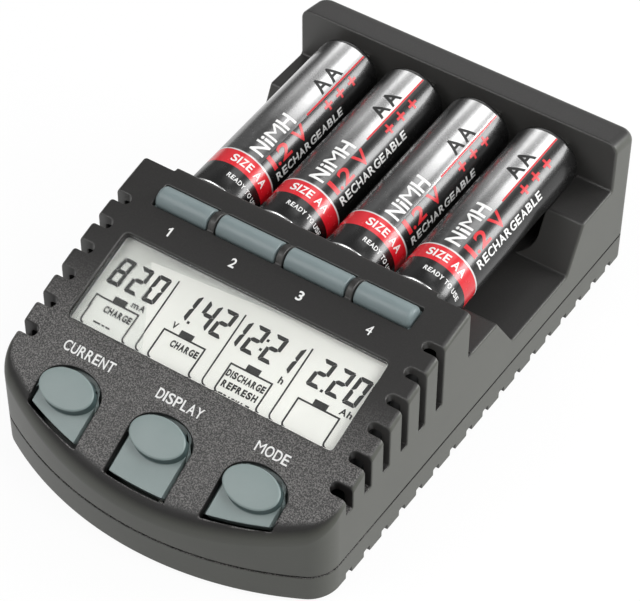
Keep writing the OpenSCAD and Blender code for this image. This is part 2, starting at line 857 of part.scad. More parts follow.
module tail(i, y, top) {
    translate([cell_x(i) - tail_w/2, y - contact_t/2, tail_z]) cube([tail_w, contact_t, top - tail_z]);
}

module positive_contact(i) {
    y = bay_rear_y - contact_gap - contact_t/2;
    low = small_axis_z - small_r/2;
    color(metal_grey) {
        tail(i, y, low);
        translate([cell_x(i) - plate_w/2, y - contact_t/2, low])
            cube([plate_w, contact_t, cell_axis_z + cell_r/2 - low]);
    }
}

module negative_contact(i) {
    y = rail_y + contact_gap + contact_t/2;
    bow_y = cell_front_y - 2*contact_gap - contact_t/2;
    reach = 4.5;
    low = cell_front_z - reach;
    color(metal_grey) {
        tail(i, y, low);
        translate([cell_x(i), 0, 0]) across(leaf_w) polygon(strip([
            [y, low], [y, low + 1], [bow_y, cell_front_z],
            [y, cell_front_z + reach], [y + contact_t/2, cell_front_z + reach + 1]
        ], contact_t));
    }
}

module small_cell_contact(i) {
    y = small_groove_y + contact_gap + contact_t/2;
    low = sill_z + 0.6;
    top = cell_front_z - cell_r - 3*contact_gap;
    color(metal_grey) {
        tail(i, y, low + 1);
        translate([cell_x(i), 0, 0]) across(tail_w) polygon(strip([
            [y, low], [y, low + 1], [y + 0.7, (low + top)/2 + 0.4], [y + 0.1, top]
        ], contact_t));
    }
}

// A cell: one sealed can with a rounded shoulder and a raised positive terminal
module cell(i) {
    can_l = cell_l - nub_h;
    rim_r = cell_r - cell_rim;
    color([0.55, 0.56, 0.56]) at_cell(i) rotate([-90, 0, 0]) translate([0, 0, -cell_l/2]) {
        rotate_extrude() {
            polygon([
                [0, cell_dish], [rim_r - cell_rim - cell_dish, cell_dish], [rim_r - cell_rim, 0],
                [rim_r, 0], [cell_r, cell_rim],
                [cell_r, can_l - cell_shoulder_r], [cell_r - cell_shoulder_r, can_l - cell_shoulder_r],
                [cell_r - cell_shoulder_r, can_l], [0, can_l]
            ]);
            translate([cell_r - cell_shoulder_r, can_l - cell_shoulder_r]) intersection() {
                circle(cell_shoulder_r);
                square(cell_shoulder_r);
            }
        }
        translate([0, 0, can_l - tiny]) cylinder(d = nub_d, h = nub_h + tiny);
    }
}

// Buttons

module stem(drop) {
    bottom = -(drop - switch_h - press_gap);
    translate([0, 0, bottom]) cylinder(d = stem_d, h = flange_z - bottom + tiny);
}

// A channel button: half round bar, with its outer end rounded on the first and last of the row
module channel_bar(length, round_end) {
    rotate([0, 90, 0]) rotate_extrude() {
        square([channel_r, length - channel_end_r]);
        square([round_end ? channel_r - channel_end_r : channel_r, length]);
        if (round_end)
            translate([channel_r - channel_end_r, length - channel_end_r]) intersection() {
                circle(channel_end_r);
                square(channel_end_r);
            }
    }
}

module channel_button(i) {
    length = bar_l(i);
    color(button_grey) on_top(channel_y) translate([cell_x(i), 0, 0]) {
        translate([bar_shift(i), 0, 0]) {
            mirror([i == 0 ? 1 : 0, 0, 0]) intersection() {
                translate([-length/2, 0, -channel_sink]) channel_bar(length, outer_side(i) != 0);
                block([length, 2*channel_r, high], -channel_sink);
            }
            block([length, channel_w, -channel_sink - flange_z], flange_z);
            block([length + 2*flange_w, channel_w + 2*(channel_clear + flange_lip), flange_t], flange_z);
        }
        stem(channel_drop);
    }
}

// A function button: an oval cap on an apron that reaches forward to the curved front
module function_button(i) {
    color(button_grey) on_top(function_y) translate([function_x(i), 0, 0]) {
        translate([0, 0, flange_z]) linear_extrude(-apron_recess - flange_z) function_outline(i);
        translate([0, 0, flange_z]) linear_extrude(flange_t)
            function_outline(i, function_clear + flange_w, -flange_lip);
        translate([0, 0, -apron_recess - tiny]) linear_extrude(apron_recess + cap_h + tiny)
            polygon(ellipse_points(function_w/2, cap_l/2));
        stem(function_drop);
    }
}

base_shell();
top_shell();
lcd_window();
lcd_panel();
lcd_holder();
lcd_connector_strips();
control_board();
main_board();
tact_switches();
controller_chip();
power_inductors();
power_transistors();
filter_capacitors();
flat_cable();
cable_connectors();
dc_jack();
jack_pin();
case_screws();
board_screws();
rubber_feet();
for (i = [0:CHANNELS - 1]) {
    positive_contact(i);
    negative_contact(i);
    small_cell_contact(i);
    cell(i);
    channel_button(i);
}
for (i = [0:len(FUNCTIONS) - 1])
    function_button(i);
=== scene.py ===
import math

import bmesh
import bpy
from mathutils import Matrix, Vector

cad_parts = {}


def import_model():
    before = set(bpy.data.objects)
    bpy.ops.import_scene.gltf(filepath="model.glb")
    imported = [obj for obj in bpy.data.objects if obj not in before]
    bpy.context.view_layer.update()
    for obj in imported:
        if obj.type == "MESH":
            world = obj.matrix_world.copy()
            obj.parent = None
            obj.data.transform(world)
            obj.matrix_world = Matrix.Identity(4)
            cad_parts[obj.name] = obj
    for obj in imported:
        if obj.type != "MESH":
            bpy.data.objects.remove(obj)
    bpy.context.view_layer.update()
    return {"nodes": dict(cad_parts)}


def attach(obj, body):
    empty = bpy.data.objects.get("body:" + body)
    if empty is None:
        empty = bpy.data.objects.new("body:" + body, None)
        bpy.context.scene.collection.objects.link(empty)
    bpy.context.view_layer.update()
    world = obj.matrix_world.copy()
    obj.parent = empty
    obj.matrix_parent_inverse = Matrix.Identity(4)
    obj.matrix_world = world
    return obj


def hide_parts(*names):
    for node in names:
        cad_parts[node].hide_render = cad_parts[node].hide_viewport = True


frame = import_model()
nodes = frame["nodes"]
scene = bpy.context.scene
MM = 0.001

# Sizes of the case in millimetres, which follow the part's source
HALF_W, FRONT_Y, REAR_Y = 37.5, -60.25, 60.25
CASE_Z, FLOOR_Z, SEAM_Z = 1.0, 2.8, 7.35
LEDGE_Z, SILL_Z, TRAY_Z, HOLLOW_Z = 24.4, 13.9, 11.9, 18.17
FRONT_R, CORNER_R, REAR_CORNER_R = 71.7, 7.0, 3.0
TOP_R, PEAK_Y, ARCH_Z = 160.0, 24.5, -121.1
WALL, FRONT_EDGE, SIDE_EDGE, REAR_EDGE = 2.0, 3.0, 1.2, 2.5
BAY_FRONT, RAIL_Y, BAY_REAR, SMALL_Y = -2.6, -1.55, 51.65, 5.0
BAY_FALL, BAY_RISE = (7.85, 14.55), (35.25, 40.35)
SCREW_POSTS, POST_R, WELL_R, WELL_H = ((29.8, -43.5), (30.8, 46.05)), 3.6, 2.6, 3
FEET, FOOT_R, FOOT_SINK = ((18, -50), (20, 54)), 4.6, 0.6
JACK_R = 4.05
RAIL_END_W, RAIL_END_X, RAIL_END_TOP = 9, 34.5, 60

# Sizes of the cells, the display and the buttons in millimetres, which follow the part's source
PITCH, CELL_R, CELL_L, CELL_Z, CELL_Y, TILT = 15.7, 7.1, 50.5, 28.4, 25.64, math.radians(2)
SEAT_GAP, SMALL_R, SLOT_W, SLOT_T = 0.25, 5.35, 3.44, 0.64
LCD_Y, LCD_W, LCD_L, LCD_CORNER, GLASS_TOP = -28.15, 60.2, 20.2, 1.0, 3.5
WINDOW_GAP, WINDOW_TOP, WINDOW_STEP, WINDOW_BOTTOM = 0.3, -0.75, -2.7, -3.4
CHANNEL_Y, CHANNEL_L, CHANNEL_R, CHANNEL_SINK, CHANNEL_TRIM = -8.6, 13.5, 2.4, 0.6, 1.2
CHANNEL_W = 2 * math.sqrt(CHANNEL_R**2 - CHANNEL_SINK**2)
CHANNEL_GAP, RIB_HALF, RIB_FOOT = 0.7, 0.75, -1.2
FUNCTION_Y, FUNCTION_PITCH, FUNCTION_W, CAP_L, CAP_H = -49.05, 21.0, 12.0, 7.8, 1.8
APRON_RECESS, APRON_INSET = 0.5, 2.8
FLANGE_Z, FLANGE_T, PLUNGER_R = -3.15, 0.85, 1.5
CHANNEL_END, CHANNEL_FLANGE, BAR_FOOT = -5.4, (1.5, 1.45), -1.6
FUNCTION_END, FUNCTION_FLANGE, FUNCTION_FRONT = -5.2, 1.35, -0.375

# Vents, notches and the function buttons' gap, a little off the source to match the photograph
VENTS, VENT_W, VENT_PITCH, VENT_Y, VENT_IN, VENT_H = 6, 2.15, 6.0, -43.65, 4.1, 18.5
NOTCHES, NOTCH_W, NOTCH_Y, NOTCH_H, NOTCH_IN = 17, 1.9, -42.45, 1.5, 34.4
FUNCTION_GAP = 0.8

# Fine edges, grooves and print that only this scene has, in millimetres
BAY_ROUND, SHELL_ROUND, BASE_ROUND, APRON_ROUND = 0.55, 0.28, 0.14, 0.10
WINDOW_EDGE, CAP_EDGE, SEAM_GAP, SEAM_DEPTH, EDGE_RUN = 0.10, 0.4, 0.22, 0.45, 0.35
PRINT_HALF, INK_LOW, INK_HIGH, SKIN = 0.04, 0.02, 0.05, 0.006

# Where cutting bodies end, well past the case or below its panel
ABOVE, PAST_SIDE = 90, 40
OPENING_LOW, SLOT_LOW, OPENING_TOP = -4, -6, 20

# Values that follow from the sizes
FRONT_CY = FRONT_Y + FRONT_R
CORNER_CX = HALF_W - CORNER_R
CORNER_CY = FRONT_CY - math.sqrt((FRONT_R - CORNER_R) ** 2 - CORNER_CX**2)
CORNER_ANGLE = math.asin(CORNER_CX / (FRONT_R - CORNER_R))
REAR_CX, REAR_CY = HALF_W - REAR_CORNER_R, REAR_Y - REAR_CORNER_R
CELLS = range(4)
FUNCTIONS = ("current", "display", "mode")
# How far each cell's print lies turned about the cell's axis, in degrees
CELL_TURNS = (9, -4, 11, -6)
# Side views, drawn as Y and Z, are extruded along X
ACROSS = Matrix(((0, 0, 1, 0), (1, 0, 0, 0), (0, 1, 0, 0), (0, 0, 0, 1)))


# Places
def cell_x(i):
    return (i - 1.5) * PITCH


def function_x(i):
    return (i - 1) * FUNCTION_PITCH


def bar_l(i):
    return CHANNEL_L - (CHANNEL_TRIM if i in (0, 3) else 0)


def bar_x(i):
    return cell_x(i) + {0: 1, 3: -1}.get(i, 0) * CHANNEL_TRIM / 2


def top_z(y, depth=0.0):
    return ARCH_Z + math.sqrt((TOP_R - depth) ** 2 - (y - PEAK_Y) ** 2)


def on_top(y):
    """The panel face at a place along Y: X across, Y up the slope, Z out of the face."""
    turn = Matrix.Rotation(-math.asin((y - PEAK_Y) / TOP_R), 4, "X")
    return Matrix.Translation((0, PEAK_Y, ARCH_Z)) @ turn @ Matrix.Translation((0, 0, TOP_R))


def at_function(i):
    return on_top(FUNCTION_Y) @ Matrix.Translation((function_x(i), 0, 0))


def at_cell(i):
    """A cell's own frame: Z along the cell from its negative end, -Y up."""
    place = Matrix.Translation((cell_x(i), CELL_Y, CELL_Z)) @ Matrix.Rotation(TILT, 4, "X")
    return place @ Matrix.Rotation(-math.pi / 2, 4, "X") @ Matrix.Translation((0, 0, -CELL_L / 2))


# Number helpers
def turns(angle, n):
    """Even steps from 0 to an angle."""
    return [angle * k / n for k in range(n + 1)]


def share(value, start, end):
    """How far a value has come from one limit to the other, between 0 and 1."""
    return min(max((value - start) / (end - start), 0.0), 1.0)


# Mesh helpers
def prism(points, low, high, matrix=Matrix(), bm=None):
    """A flat outline extruded between two heights of its own frame, in millimetres."""
    bm = bm or bmesh.new()
    rings = [[bm.verts.new(matrix @ Vector((x, y, z))) for x, y in points] for z in (low, high)]
    count = len(points)
    area = sum(points[k - 1][0] * points[k][1] - points[k][0] * points[k - 1][1] for k in range(count))
    faces = [rings[0][::-1], rings[1]]
    faces += [[rings[0][k - 1], rings[0][k], rings[1][k], rings[1][k - 1]] for k in range(count)]
    for face in faces:
        bm.faces.new(face if area > 0 else face[::-1])
    return bm


def rounded(w, h, r, n=8):
    """A rectangle with rounded corners."""
    points = []
    for quarter, (sx, sy) in enumerate(((1, 1), (-1, 1), (-1, -1), (1, -1))):
        for k in range(n + 1):
            a = math.pi / 2 * (quarter + k / n)
            points.append((sx * (w / 2 - r) + r * math.cos(a), sy * (h / 2 - r) + r * math.sin(a)))
    return points


def rectangle(w, h, x=0.0, y=0.0):
    left, right, low, high = x - w / 2, x + w / 2, y - h / 2, y + h / 2
    return [(left, low), (right, low), (right, high), (left, high)]


def circle(r, x=0.0, y=0.0, n=64):
    around = turns(2 * math.pi, n)[:-1]
    return [(x + r * math.cos(t), y + r * math.sin(t)) for t in around]


def skin(bm, rings):
    """Faces between each closed ring of points and the next."""
    for low, high in zip(rings, rings[1:]):
        for k in range(len(low)):
            bm.faces.new([low[k - 1], low[k], high[k], high[k - 1]])


def stack(rings, matrix=Matrix(), bm=None):
    """A closed skin over a stack of rings of points, each given as (x, y, z)."""
    bm = bm or bmesh.new()
    made = [[bm.verts.new(matrix @ Vector(p)) for p in ring] for ring in rings]
    skin(bm, made)
    bm.faces.new(made[0][::-1])
    bm.faces.new(made[-1])
    return bm


def raw(bm, name):
    """A scene object from a mesh in millimetres."""
    bmesh.ops.recalc_face_normals(bm, faces=bm.faces)
    bm.transform(Matrix.Scale(MM, 4))
    mesh = bpy.data.meshes.new(name)
    bm.to_mesh(mesh)
    bm.free()
    obj = bpy.data.objects.new(name, mesh)
    scene.collection.objects.link(obj)
    return obj


def final_mesh(obj):
    """A new mesh with the object's modifiers, or its text, worked in."""
    return bpy.data.meshes.new_from_object(obj.evaluated_get(bpy.context.evaluated_depsgraph_get()))


def bake(obj):
    """Turns an object's modifiers into its mesh."""
    mesh = final_mesh(obj)
    old = obj.data
    obj.modifiers.clear()
    obj.data = mesh
    bpy.data.meshes.remove(old)


def carve(obj, operation, *meshes):
    """Joins meshes in millimetres to an object, or cuts them from it, one after another."""
    for bm in meshes:
        tool = raw(bm, "tool")
        mod = obj.modifiers.new("carve", "BOOLEAN")
        mod.operation, mod.solver, mod.object = operation, "EXACT", tool
        bpy.context.view_layer.update()
        bake(obj)
        bpy.data.objects.remove(tool)


def smooth(obj, angle):
    obj.data.shade_smooth()
    obj.data.set_sharp_from_angle(angle=math.radians(angle))


def even(obj, angle):
    """Smooth shading that leaves the large flat faces flat."""
    smooth(obj, angle)
    mod = obj.modifiers.new("normals", "WEIGHTED_NORMAL")
    mod.keep_sharp = True
    bake(obj)


def soften(obj, width, segments=2, angle=40):
    """Rounds the sharp edges."""
    bm = bmesh.new()
    bm.from_mesh(obj.data)
    bmesh.ops.remove_doubles(bm, verts=bm.verts, dist=0.004 * MM)
    bmesh.ops.dissolve_degenerate(bm, edges=bm.edges, dist=0.004 * MM)
    bmesh.ops.dissolve_limit(bm, angle_limit=math.radians(0.03), verts=bm.verts, edges=bm.edges)
    bm.to_mesh(obj.data)
    bm.free()
    mod = obj.modifiers.new("edges", "BEVEL")
    mod.width, mod.segments, mod.limit_method = width * MM, segments, "ANGLE"
    mod.angle_limit, mod.use_clamp_overlap = math.radians(angle), False
    mod.miter_outer = "MITER_ARC"
    bake(obj)


def finish_piece(obj, material, body="case", stands_for=()):
    obj.data.materials.clear()
    obj.data.materials.append(material)
    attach(obj, body)
    if stands_for:
        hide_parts(*stands_for)


# Material helpers
class Nodes:
    """Builds one node material."""

    def __init__(self, name):
        self.material = bpy.data.materials.new(name)
        self.material.use_nodes = True
        self.tree = self.material.node_tree
        self.shader = self.tree.nodes["Principled BSDF"]
        self.output = self.tree.nodes["Material Output"]

    def add(self, kind, **settings):
        node = self.tree.nodes.new(kind)
        for key, value in settings.items():
            setattr(node, key, value)
        return node

    def feed(self, socket, value):
        if isinstance(value, bpy.types.NodeSocket):
            self.tree.links.new(value, socket)
        else:
            socket.default_value = value

    def set(self, **values):
        for key, value in values.items():
            self.feed(self.shader.inputs[key.replace("_", " ")], value)

    def math(self, operation, a, b):
        node = self.add("ShaderNodeMath", operation=operation)
        self.feed(node.inputs[0], a)
        self.feed(node.inputs[1], b)
        return node.outputs[0]

    def remap(self, value, low, high, to=(0.0, 1.0), kind="SMOOTHSTEP"):
        """Maps the values between two limits onto another range."""
        node = self.add("ShaderNodeMapRange", interpolation_type=kind)
        self.feed(node.inputs["Value"], value)
        self.feed(node.inputs["From Min"], low)
        self.feed(node.inputs["From Max"], high)
        self.feed(node.inputs["To Min"], to[0])
        self.feed(node.inputs["To Max"], to[1])
        return node.outputs[0]

    def between(self, value, low, high, soft):
        """1 where the value lies between two limits, with soft edges."""
        rise = self.remap(value, low - soft, low + soft)
        fall = self.remap(value, high + soft, high - soft)
        return self.math("MULTIPLY", rise, fall)

    def mix(self, factor, a, b):
        node = self.add("ShaderNodeMix", data_type="RGBA")
        self.feed(node.inputs[0], factor)
        self.feed(node.inputs[6], a)
        self.feed(node.inputs[7], b)
        return node.outputs[2]

    def ramp(self, factor, *stops):
        node = self.add("ShaderNodeValToRGB")
        elements = node.color_ramp.elements
        while len(elements) < len(stops):
            elements.new(0.5)
        for element, (place, color) in zip(elements, stops):
            element.position, element.color = place, color
        self.feed(node.inputs[0], factor)
        return node.outputs[0]

    def coords(self):
        return self.add("ShaderNodeTexCoord").outputs["Object"]

    def split(self, vector):
        """The X, Y and Z of a vector."""
        node = self.add("ShaderNodeSeparateXYZ")
        self.feed(node.inputs[0], vector)
        return node.outputs

    def attribute(self, name):
        return self.add("ShaderNodeAttribute", attribute_name=name).outputs["Fac"]

    def noise(self, scale, detail=2.0, roughness=0.5, vector=None):
        node = self.add("ShaderNodeTexNoise")
        self.feed(node.inputs["Vector"], vector or self.coords())
        self.feed(node.inputs["Scale"], scale)
        self.feed(node.inputs["Detail"], detail)
        self.feed(node.inputs["Roughness"], roughness)
        return node.outputs["Fac"]

    def bump(self, height, strength, distance):
        node = self.add("ShaderNodeBump")
        self.feed(node.inputs["Height"], height)
        self.feed(node.inputs["Strength"], strength)
        self.feed(node.inputs["Distance"], distance)
        return node.outputs[0]


def grey(v, tint=(1, 1, 1)):
    return (v * tint[0], v * tint[1], v * tint[2], 1)


def case_plastic():
    """Black moulding: sparkling grain on the slope at the front, smooth walls outside that are painted
    lighter than the top as painted light, with the front-facing ones painted darker as painted shade.
    """
    n = Nodes("case_plastic")
    panel_tint, floor_tint, slope_tint = (1.0, 0.93, 0.88), (1.0, 0.96, 0.92), (1.0, 0.96, 0.93)
    inner_tint, wall_light_tint = (1.0, 0.98, 0.94), (0.96, 1.0, 0.84)
    facing = n.split(n.add("ShaderNodeNewGeometry").outputs["Normal"])
    place = n.split(n.coords())
    up = n.remap(facing["Z"], 0.72, 0.86)
    front_facing_shade = n.remap(facing["Y"], -0.30, -0.90)
    front = n.remap(place["Y"], -0.024, -0.041)
    bay = n.remap(place["Y"], (BAY_FRONT - 0.5) * MM, (RAIL_Y + 0.5) * MM)
    grain = n.noise(3600, 2, 0.7)
    speck = n.ramp(grain, (0.44, grey(0)), (0.62, grey(1)))
    cloud = n.noise(90, 3)
    panel = n.mix(speck, grey(0.010, panel_tint), grey(0.015, panel_tint))
    floor = n.mix(speck, grey(0.016, floor_tint), grey(0.023, floor_tint))
    plain = n.mix(bay, panel, floor)
    # The specks are the moulding's real grain. On the front slope their lighter colours also paint part of
    # the slope's sheen, as painted light.
    slope = n.mix(speck, grey(0.016, slope_tint), grey(0.150, slope_tint))
    top = n.mix(front, plain, slope)
    # Painted light: the outside walls are painted lighter and greener than the top, and the walls that face
    # the front are painted darker than the side walls, as painted shade.
    side_wall_lit = n.mix(cloud, grey(0.058, wall_light_tint), grey(0.072, wall_light_tint))
    front_wall_shaded = n.mix(cloud, grey(0.046, wall_light_tint), grey(0.058, wall_light_tint))
    outer = n.mix(front_facing_shade, side_wall_lit, front_wall_shaded)
    # Painted light: the inner walls of the bay are painted lighter, while inner walls at the front keep the
    # top's dark colour. The outer mark puts the lighter outside colour only on the outside walls.
    inner = n.mix(front, grey(0.058, inner_tint), plain)
    side = n.mix(n.attribute("outer"), inner, outer)
    rough = n.remap(up, 0.0, 1.0, (0.42, 0.50), "LINEAR")
    strength = n.remap(n.math("MULTIPLY", up, front), 0.0, 1.0, (0.08, 0.40), "LINEAR")
    n.set(Base_Color=n.mix(up, side, top), Roughness=rough, Specular_IOR_Level=0.5)
    n.set(Normal=n.bump(grain, strength, 0.00006))
    return n.material


def button_plastic(name, dark, light, skirt_shade=None):
    """Blue grey plastic; the skirts of the oval caps are painted darker, as painted shade."""
    n = Nodes(name)
    color = n.mix(n.noise(160, 3), dark, light)
    if skirt_shade:
        face = on_top(FUNCTION_Y)
        up = face.to_3x3() @ Vector((0, 0, 1))
        height = n.add("ShaderNodeVectorMath", operation="DOT_PRODUCT")
        n.feed(height.inputs[0], n.coords())
        height.inputs[1].default_value = up / MM
        above = n.math("SUBTRACT", height.outputs["Value"], face.translation.dot(up))
        # Painted shade: the caps' sides, up to just under their rounded top, are painted darker.
        color = n.mix(n.between(above, -0.40, CAP_H - 0.32, 0.10), color, skirt_shade)
    n.set(Base_Color=color, Roughness=0.42, Specular_IOR_Level=0.5)
    n.set(Normal=n.bump(n.noise(3200, 2), 0.12, 0.00004))
    return n.material


def clear_plastic():
    """Clear plastic that lets light and shadow through."""
    n = Nodes("clear_window")
    n.set(Base_Color=(0.97, 0.985, 0.98, 1), IOR=1.49, Transmission_Weight=1.0)
    path = n.add("ShaderNodeLightPath")
    unseen = n.math("MAXIMUM", path.outputs["Is Shadow Ray"], path.outputs["Is Diffuse Ray"])
    opaque = n.math("SUBTRACT", 1.0, n.math("MULTIPLY", unseen, 0.95))
    n.set(Roughness=n.math("MULTIPLY", n.noise(300, 4), 0.01), Alpha=opaque)
    return n.material


def simple(name, dark, light, rough, scale=400, metallic=0.0, bump=0.1, stretch=None):
    """A plain finish with fine variation in colour and surface."""
    n = Nodes(name)
    vector = n.coords()
    if stretch:
        mapping = n.add("ShaderNodeMapping")
        n.feed(mapping.inputs["Vector"], vector)
        n.feed(mapping.inputs["Scale"], stretch)
        vector = mapping.outputs[0]
    field = n.noise(scale, 3, vector=vector)
    n.set(Base_Color=n.mix(field, (*dark, 1), (*light, 1)), Roughness=rough, Metallic=metallic)
    n.set(Normal=n.bump(field, bump, 0.00003))
    return n.material


def circuit_board():
    """Black solder mask over copper tracks, with a few bright pads."""
    n = Nodes("board")
    brick = n.add("ShaderNodeTexBrick")
    n.feed(brick.inputs["Vector"], n.coords())
    n.feed(brick.inputs["Scale"], 260.0)
    n.feed(brick.inputs["Color1"], (0.006, 0.010, 0.008, 1))
    n.feed(brick.inputs["Color2"], (0.008, 0.013, 0.010, 1))
    n.feed(brick.inputs["Mortar"], (0.014, 0.024, 0.018, 1))
    n.feed(brick.inputs["Mortar Size"], 0.04)
    pads = n.ramp(n.noise(420, 0), (0.74, grey(0)), (0.76, grey(1)))
    n.set(Base_Color=n.mix(pads, brick.outputs["Color"], (0.62, 0.62, 0.58, 1)), Roughness=0.35)
    n.set(Normal=n.bump(brick.outputs["Fac"], 0.2, 0.00003))
    return n.material


def cell_sleeve():
    """Generic metallic sleeve: black ends, a red ring, silver that fades to black round the can, and a
    darker band painted on the silver's left flank as a painted reflection.
    """
    n = Nodes("cell_sleeve")
    place = n.split(n.coords())
    black = grey(0.006)
    # Places along the can in millimetres, and round it in degrees from the top
    along = n.math("MULTIPLY", place["Z"], 1000.0)
    turn = n.math("ARCTAN2", place["X"], n.math("MULTIPLY", place["Y"], -1.0))
    turn = n.math("SUBTRACT", n.math("MULTIPLY", turn, 57.29578), n.attribute("turned"))
    ring = n.between(along, 6.3, 10.3, 0.05)
    line = n.between(along, 10.3, 10.7, 0.05)
    body = n.between(along, 10.6, 47.6, 0.06)
    tip = n.math("ADD", n.between(along, -1.0, 0.45, 0.03), n.between(along, 49.25, 60.0, 0.03))
    # Painted reflection: a darker band on the silver to the left of the top, with a light rim left beyond
    # it.
    dark_flank_reflection = n.between(turn, -50.0, -26.0, 8.0)
    panel = n.between(turn, 28.0, 230.0, 1.2)
    back = n.between(turn, -230.0, -150.0, 1.2)
    dark = n.math("MAXIMUM", panel, back)
    edge = n.math("MULTIPLY", n.between(turn, 25.5, 28.4, 0.25), n.between(along, 27.0, 47.6, 0.06))
    stops = ((0.20, 0.06), (0.40, 0.13), (0.62, 0.62), (1.0, 0.76))
    fade = n.ramp(n.math("DIVIDE", along, 50.0), *((at, grey(v)) for at, v in stops))
    streak = n.noise(900, 2)
    silver = n.mix(n.math("MULTIPLY", streak, 0.25), fade, grey(0.5))
    silver = n.mix(dark_flank_reflection, silver, grey(0.20))
    sleeve = n.mix(dark, silver, black)
    sleeve = n.mix(edge, sleeve, (0.55, 0.012, 0.02, 1))
    color = n.mix(body, black, sleeve)
    color = n.mix(ring, color, (0.60, 0.012, 0.022, 1))
    color = n.mix(line, color, grey(0.6))
    color = n.mix(tip, color, grey(0.72))
    bare = n.math("SUBTRACT", 1.0, n.math("MAXIMUM", dark, edge))
    shiny = n.math("MULTIPLY", body, bare)
    metal = n.math("MAXIMUM", n.math("MULTIPLY", shiny, 0.92), tip)
    rough = n.math("ADD", 0.22, n.math("MULTIPLY", streak, 0.08))
    n.set(Base_Color=color, Metallic=metal, Roughness=rough, Coat_Weight=0.2, Coat_Roughness=0.08)
    n.set(Normal=n.bump(n.noise(260, 2), 0.05, 0.00008))
    return n.material


def display_glass():
    """Pale reflective display, painted darker in the middle and lighter towards its ends, lightest at the
    right, as painted light.
    """
    n = Nodes("lcd_glass")
    place = n.split(n.coords())
    across = n.math("ADD", 0.5, n.math("DIVIDE", place["X"], LCD_W * MM))
    field = n.noise(220, 3)
    # Painted light: a tone across the display, darker in the middle and lightest at its right end.
    left, middle, right = (0.87, 0.865, 0.815, 1), (0.82, 0.815, 0.765, 1), (0.93, 0.922, 0.87, 1)
    painted_light_tone = n.ramp(across, (0.10, left), (0.45, middle), (0.90, right))
    color = n.mix(n.math("MULTIPLY", field, 0.12), painted_light_tone, (0.80, 0.80, 0.76, 1))
    n.set(Base_Color=color, Roughness=0.45)
    n.set(Normal=n.bump(field, 0.02, 0.00003))
    return n.material


def ink(name, color, rough=0.5):
    n = Nodes(name)
    n.set(Base_Color=n.mix(n.noise(1500, 2), (*color, 1), grey(0.86, color)), Roughness=rough)
    return n.material


CASE = case_plastic()
BUTTON = button_plastic("button_plastic", (0.150, 0.190, 0.195, 1), (0.185, 0.230, 0.236, 1))
# The function caps' last colour is painted shade on their skirts.
FUNCTION = button_plastic("function_plastic", (0.175, 0.222, 0.218, 1), (0.215, 0.265, 0.260, 1),
                          (0.050, 0.078, 0.078, 1))
WINDOW = clear_plastic()
SLEEVE = cell_sleeve()
BOARD = circuit_board()
LCD = display_glass()
LCD_INK = ink("lcd_ink", (0.014, 0.013, 0.012))
WHITE_INK = ink("white_ink", (0.80, 0.80, 0.79))
BLACK_INK = ink("black_ink", (0.012, 0.012, 0.012), 0.35)
RED_INK = ink("red_ink", (0.62, 0.014, 0.022), 0.35)
BLACK = simple("black_plastic", (0.010, 0.010, 0.010), (0.018, 0.018, 0.018), 0.5, 900)
RUBBER = simple("foot_rubber", (0.008, 0.008, 0.008), (0.016, 0.016, 0.016), 0.85, 1200, bump=0.3)
STRIP = simple("conductive_rubber", (0.50, 0.26, 0.30), (0.62, 0.34, 0.38), 0.8, 700)
STEEL = simple("contact_metal", (0.55, 0.55, 0.53), (0.72, 0.72, 0.70), 0.28, 500, 1.0, 0.08, (1, 1, 14))
SCREW = simple("screw_metal", (0.38, 0.38, 0.38), (0.55, 0.55, 0.55), 0.3, 700, 1.0)
CAN = simple("capacitor_can", (0.02, 0.03, 0.08), (0.03, 0.045, 0.11), 0.35, 500)
CABLE = simple("cable", (0.50, 0.50, 0.46), (0.62, 0.62, 0.58), 0.5, 600, stretch=(30, 1, 1))
IVORY = simple("connector_plastic", (0.58, 0.52, 0.40), (0.66, 0.60, 0.48), 0.5, 500)


# Plan of the case
def outline_point(center, r, angle, edge):
    dx, dy = math.sin(angle), -math.cos(angle)
    return center[0] + r * dx, center[1] + r * dy, dx, dy, edge


def outline(arc=32, corner=18, rear=10):
    """The plan, as points with their outward direction and the radius of their top edge."""
    half = [outline_point((0, FRONT_CY), FRONT_R, t, FRONT_EDGE) for t in turns(CORNER_ANGLE, arc)]
    for k in range(1, corner + 1):
        part = k / corner
        angle = CORNER_ANGLE + (math.pi / 2 - CORNER_ANGLE) * part
        edge = FRONT_EDGE + (SIDE_EDGE - FRONT_EDGE) * part
        half.append(outline_point((CORNER_CX, CORNER_CY), CORNER_R, angle, edge))
    # Rows of points between the vents, and then along the rest of the side
    rows = [VENT_Y + k * VENT_PITCH + VENT_W + step for k in range(5) for step in (0.85, 2.7)]
    rows += [-10.5, -8.5, -4.0, 0.5, 15.0, 30.0, 45.0, 53.5, 55.4, REAR_CY]
    for y in rows:
        half.append((HALF_W, y, 1, 0, SIDE_EDGE if y < (BAY_FRONT + BAY_REAR) / 2 else REAR_EDGE))
    for k in range(1, rear + 1):
        angle = math.pi / 2 * (1 + k / rear)
        half.append(outline_point((REAR_CX, REAR_CY), REAR_CORNER_R, angle, REAR_EDGE))
    return half + [(-x, y, -dx, dy, e) for x, y, dx, dy, e in half[:0:-1]], len(half)


def plan(inset):
    return [(x - dx * inset, y - dy * inset) for x, y, dx, dy, e in outline()[0]]


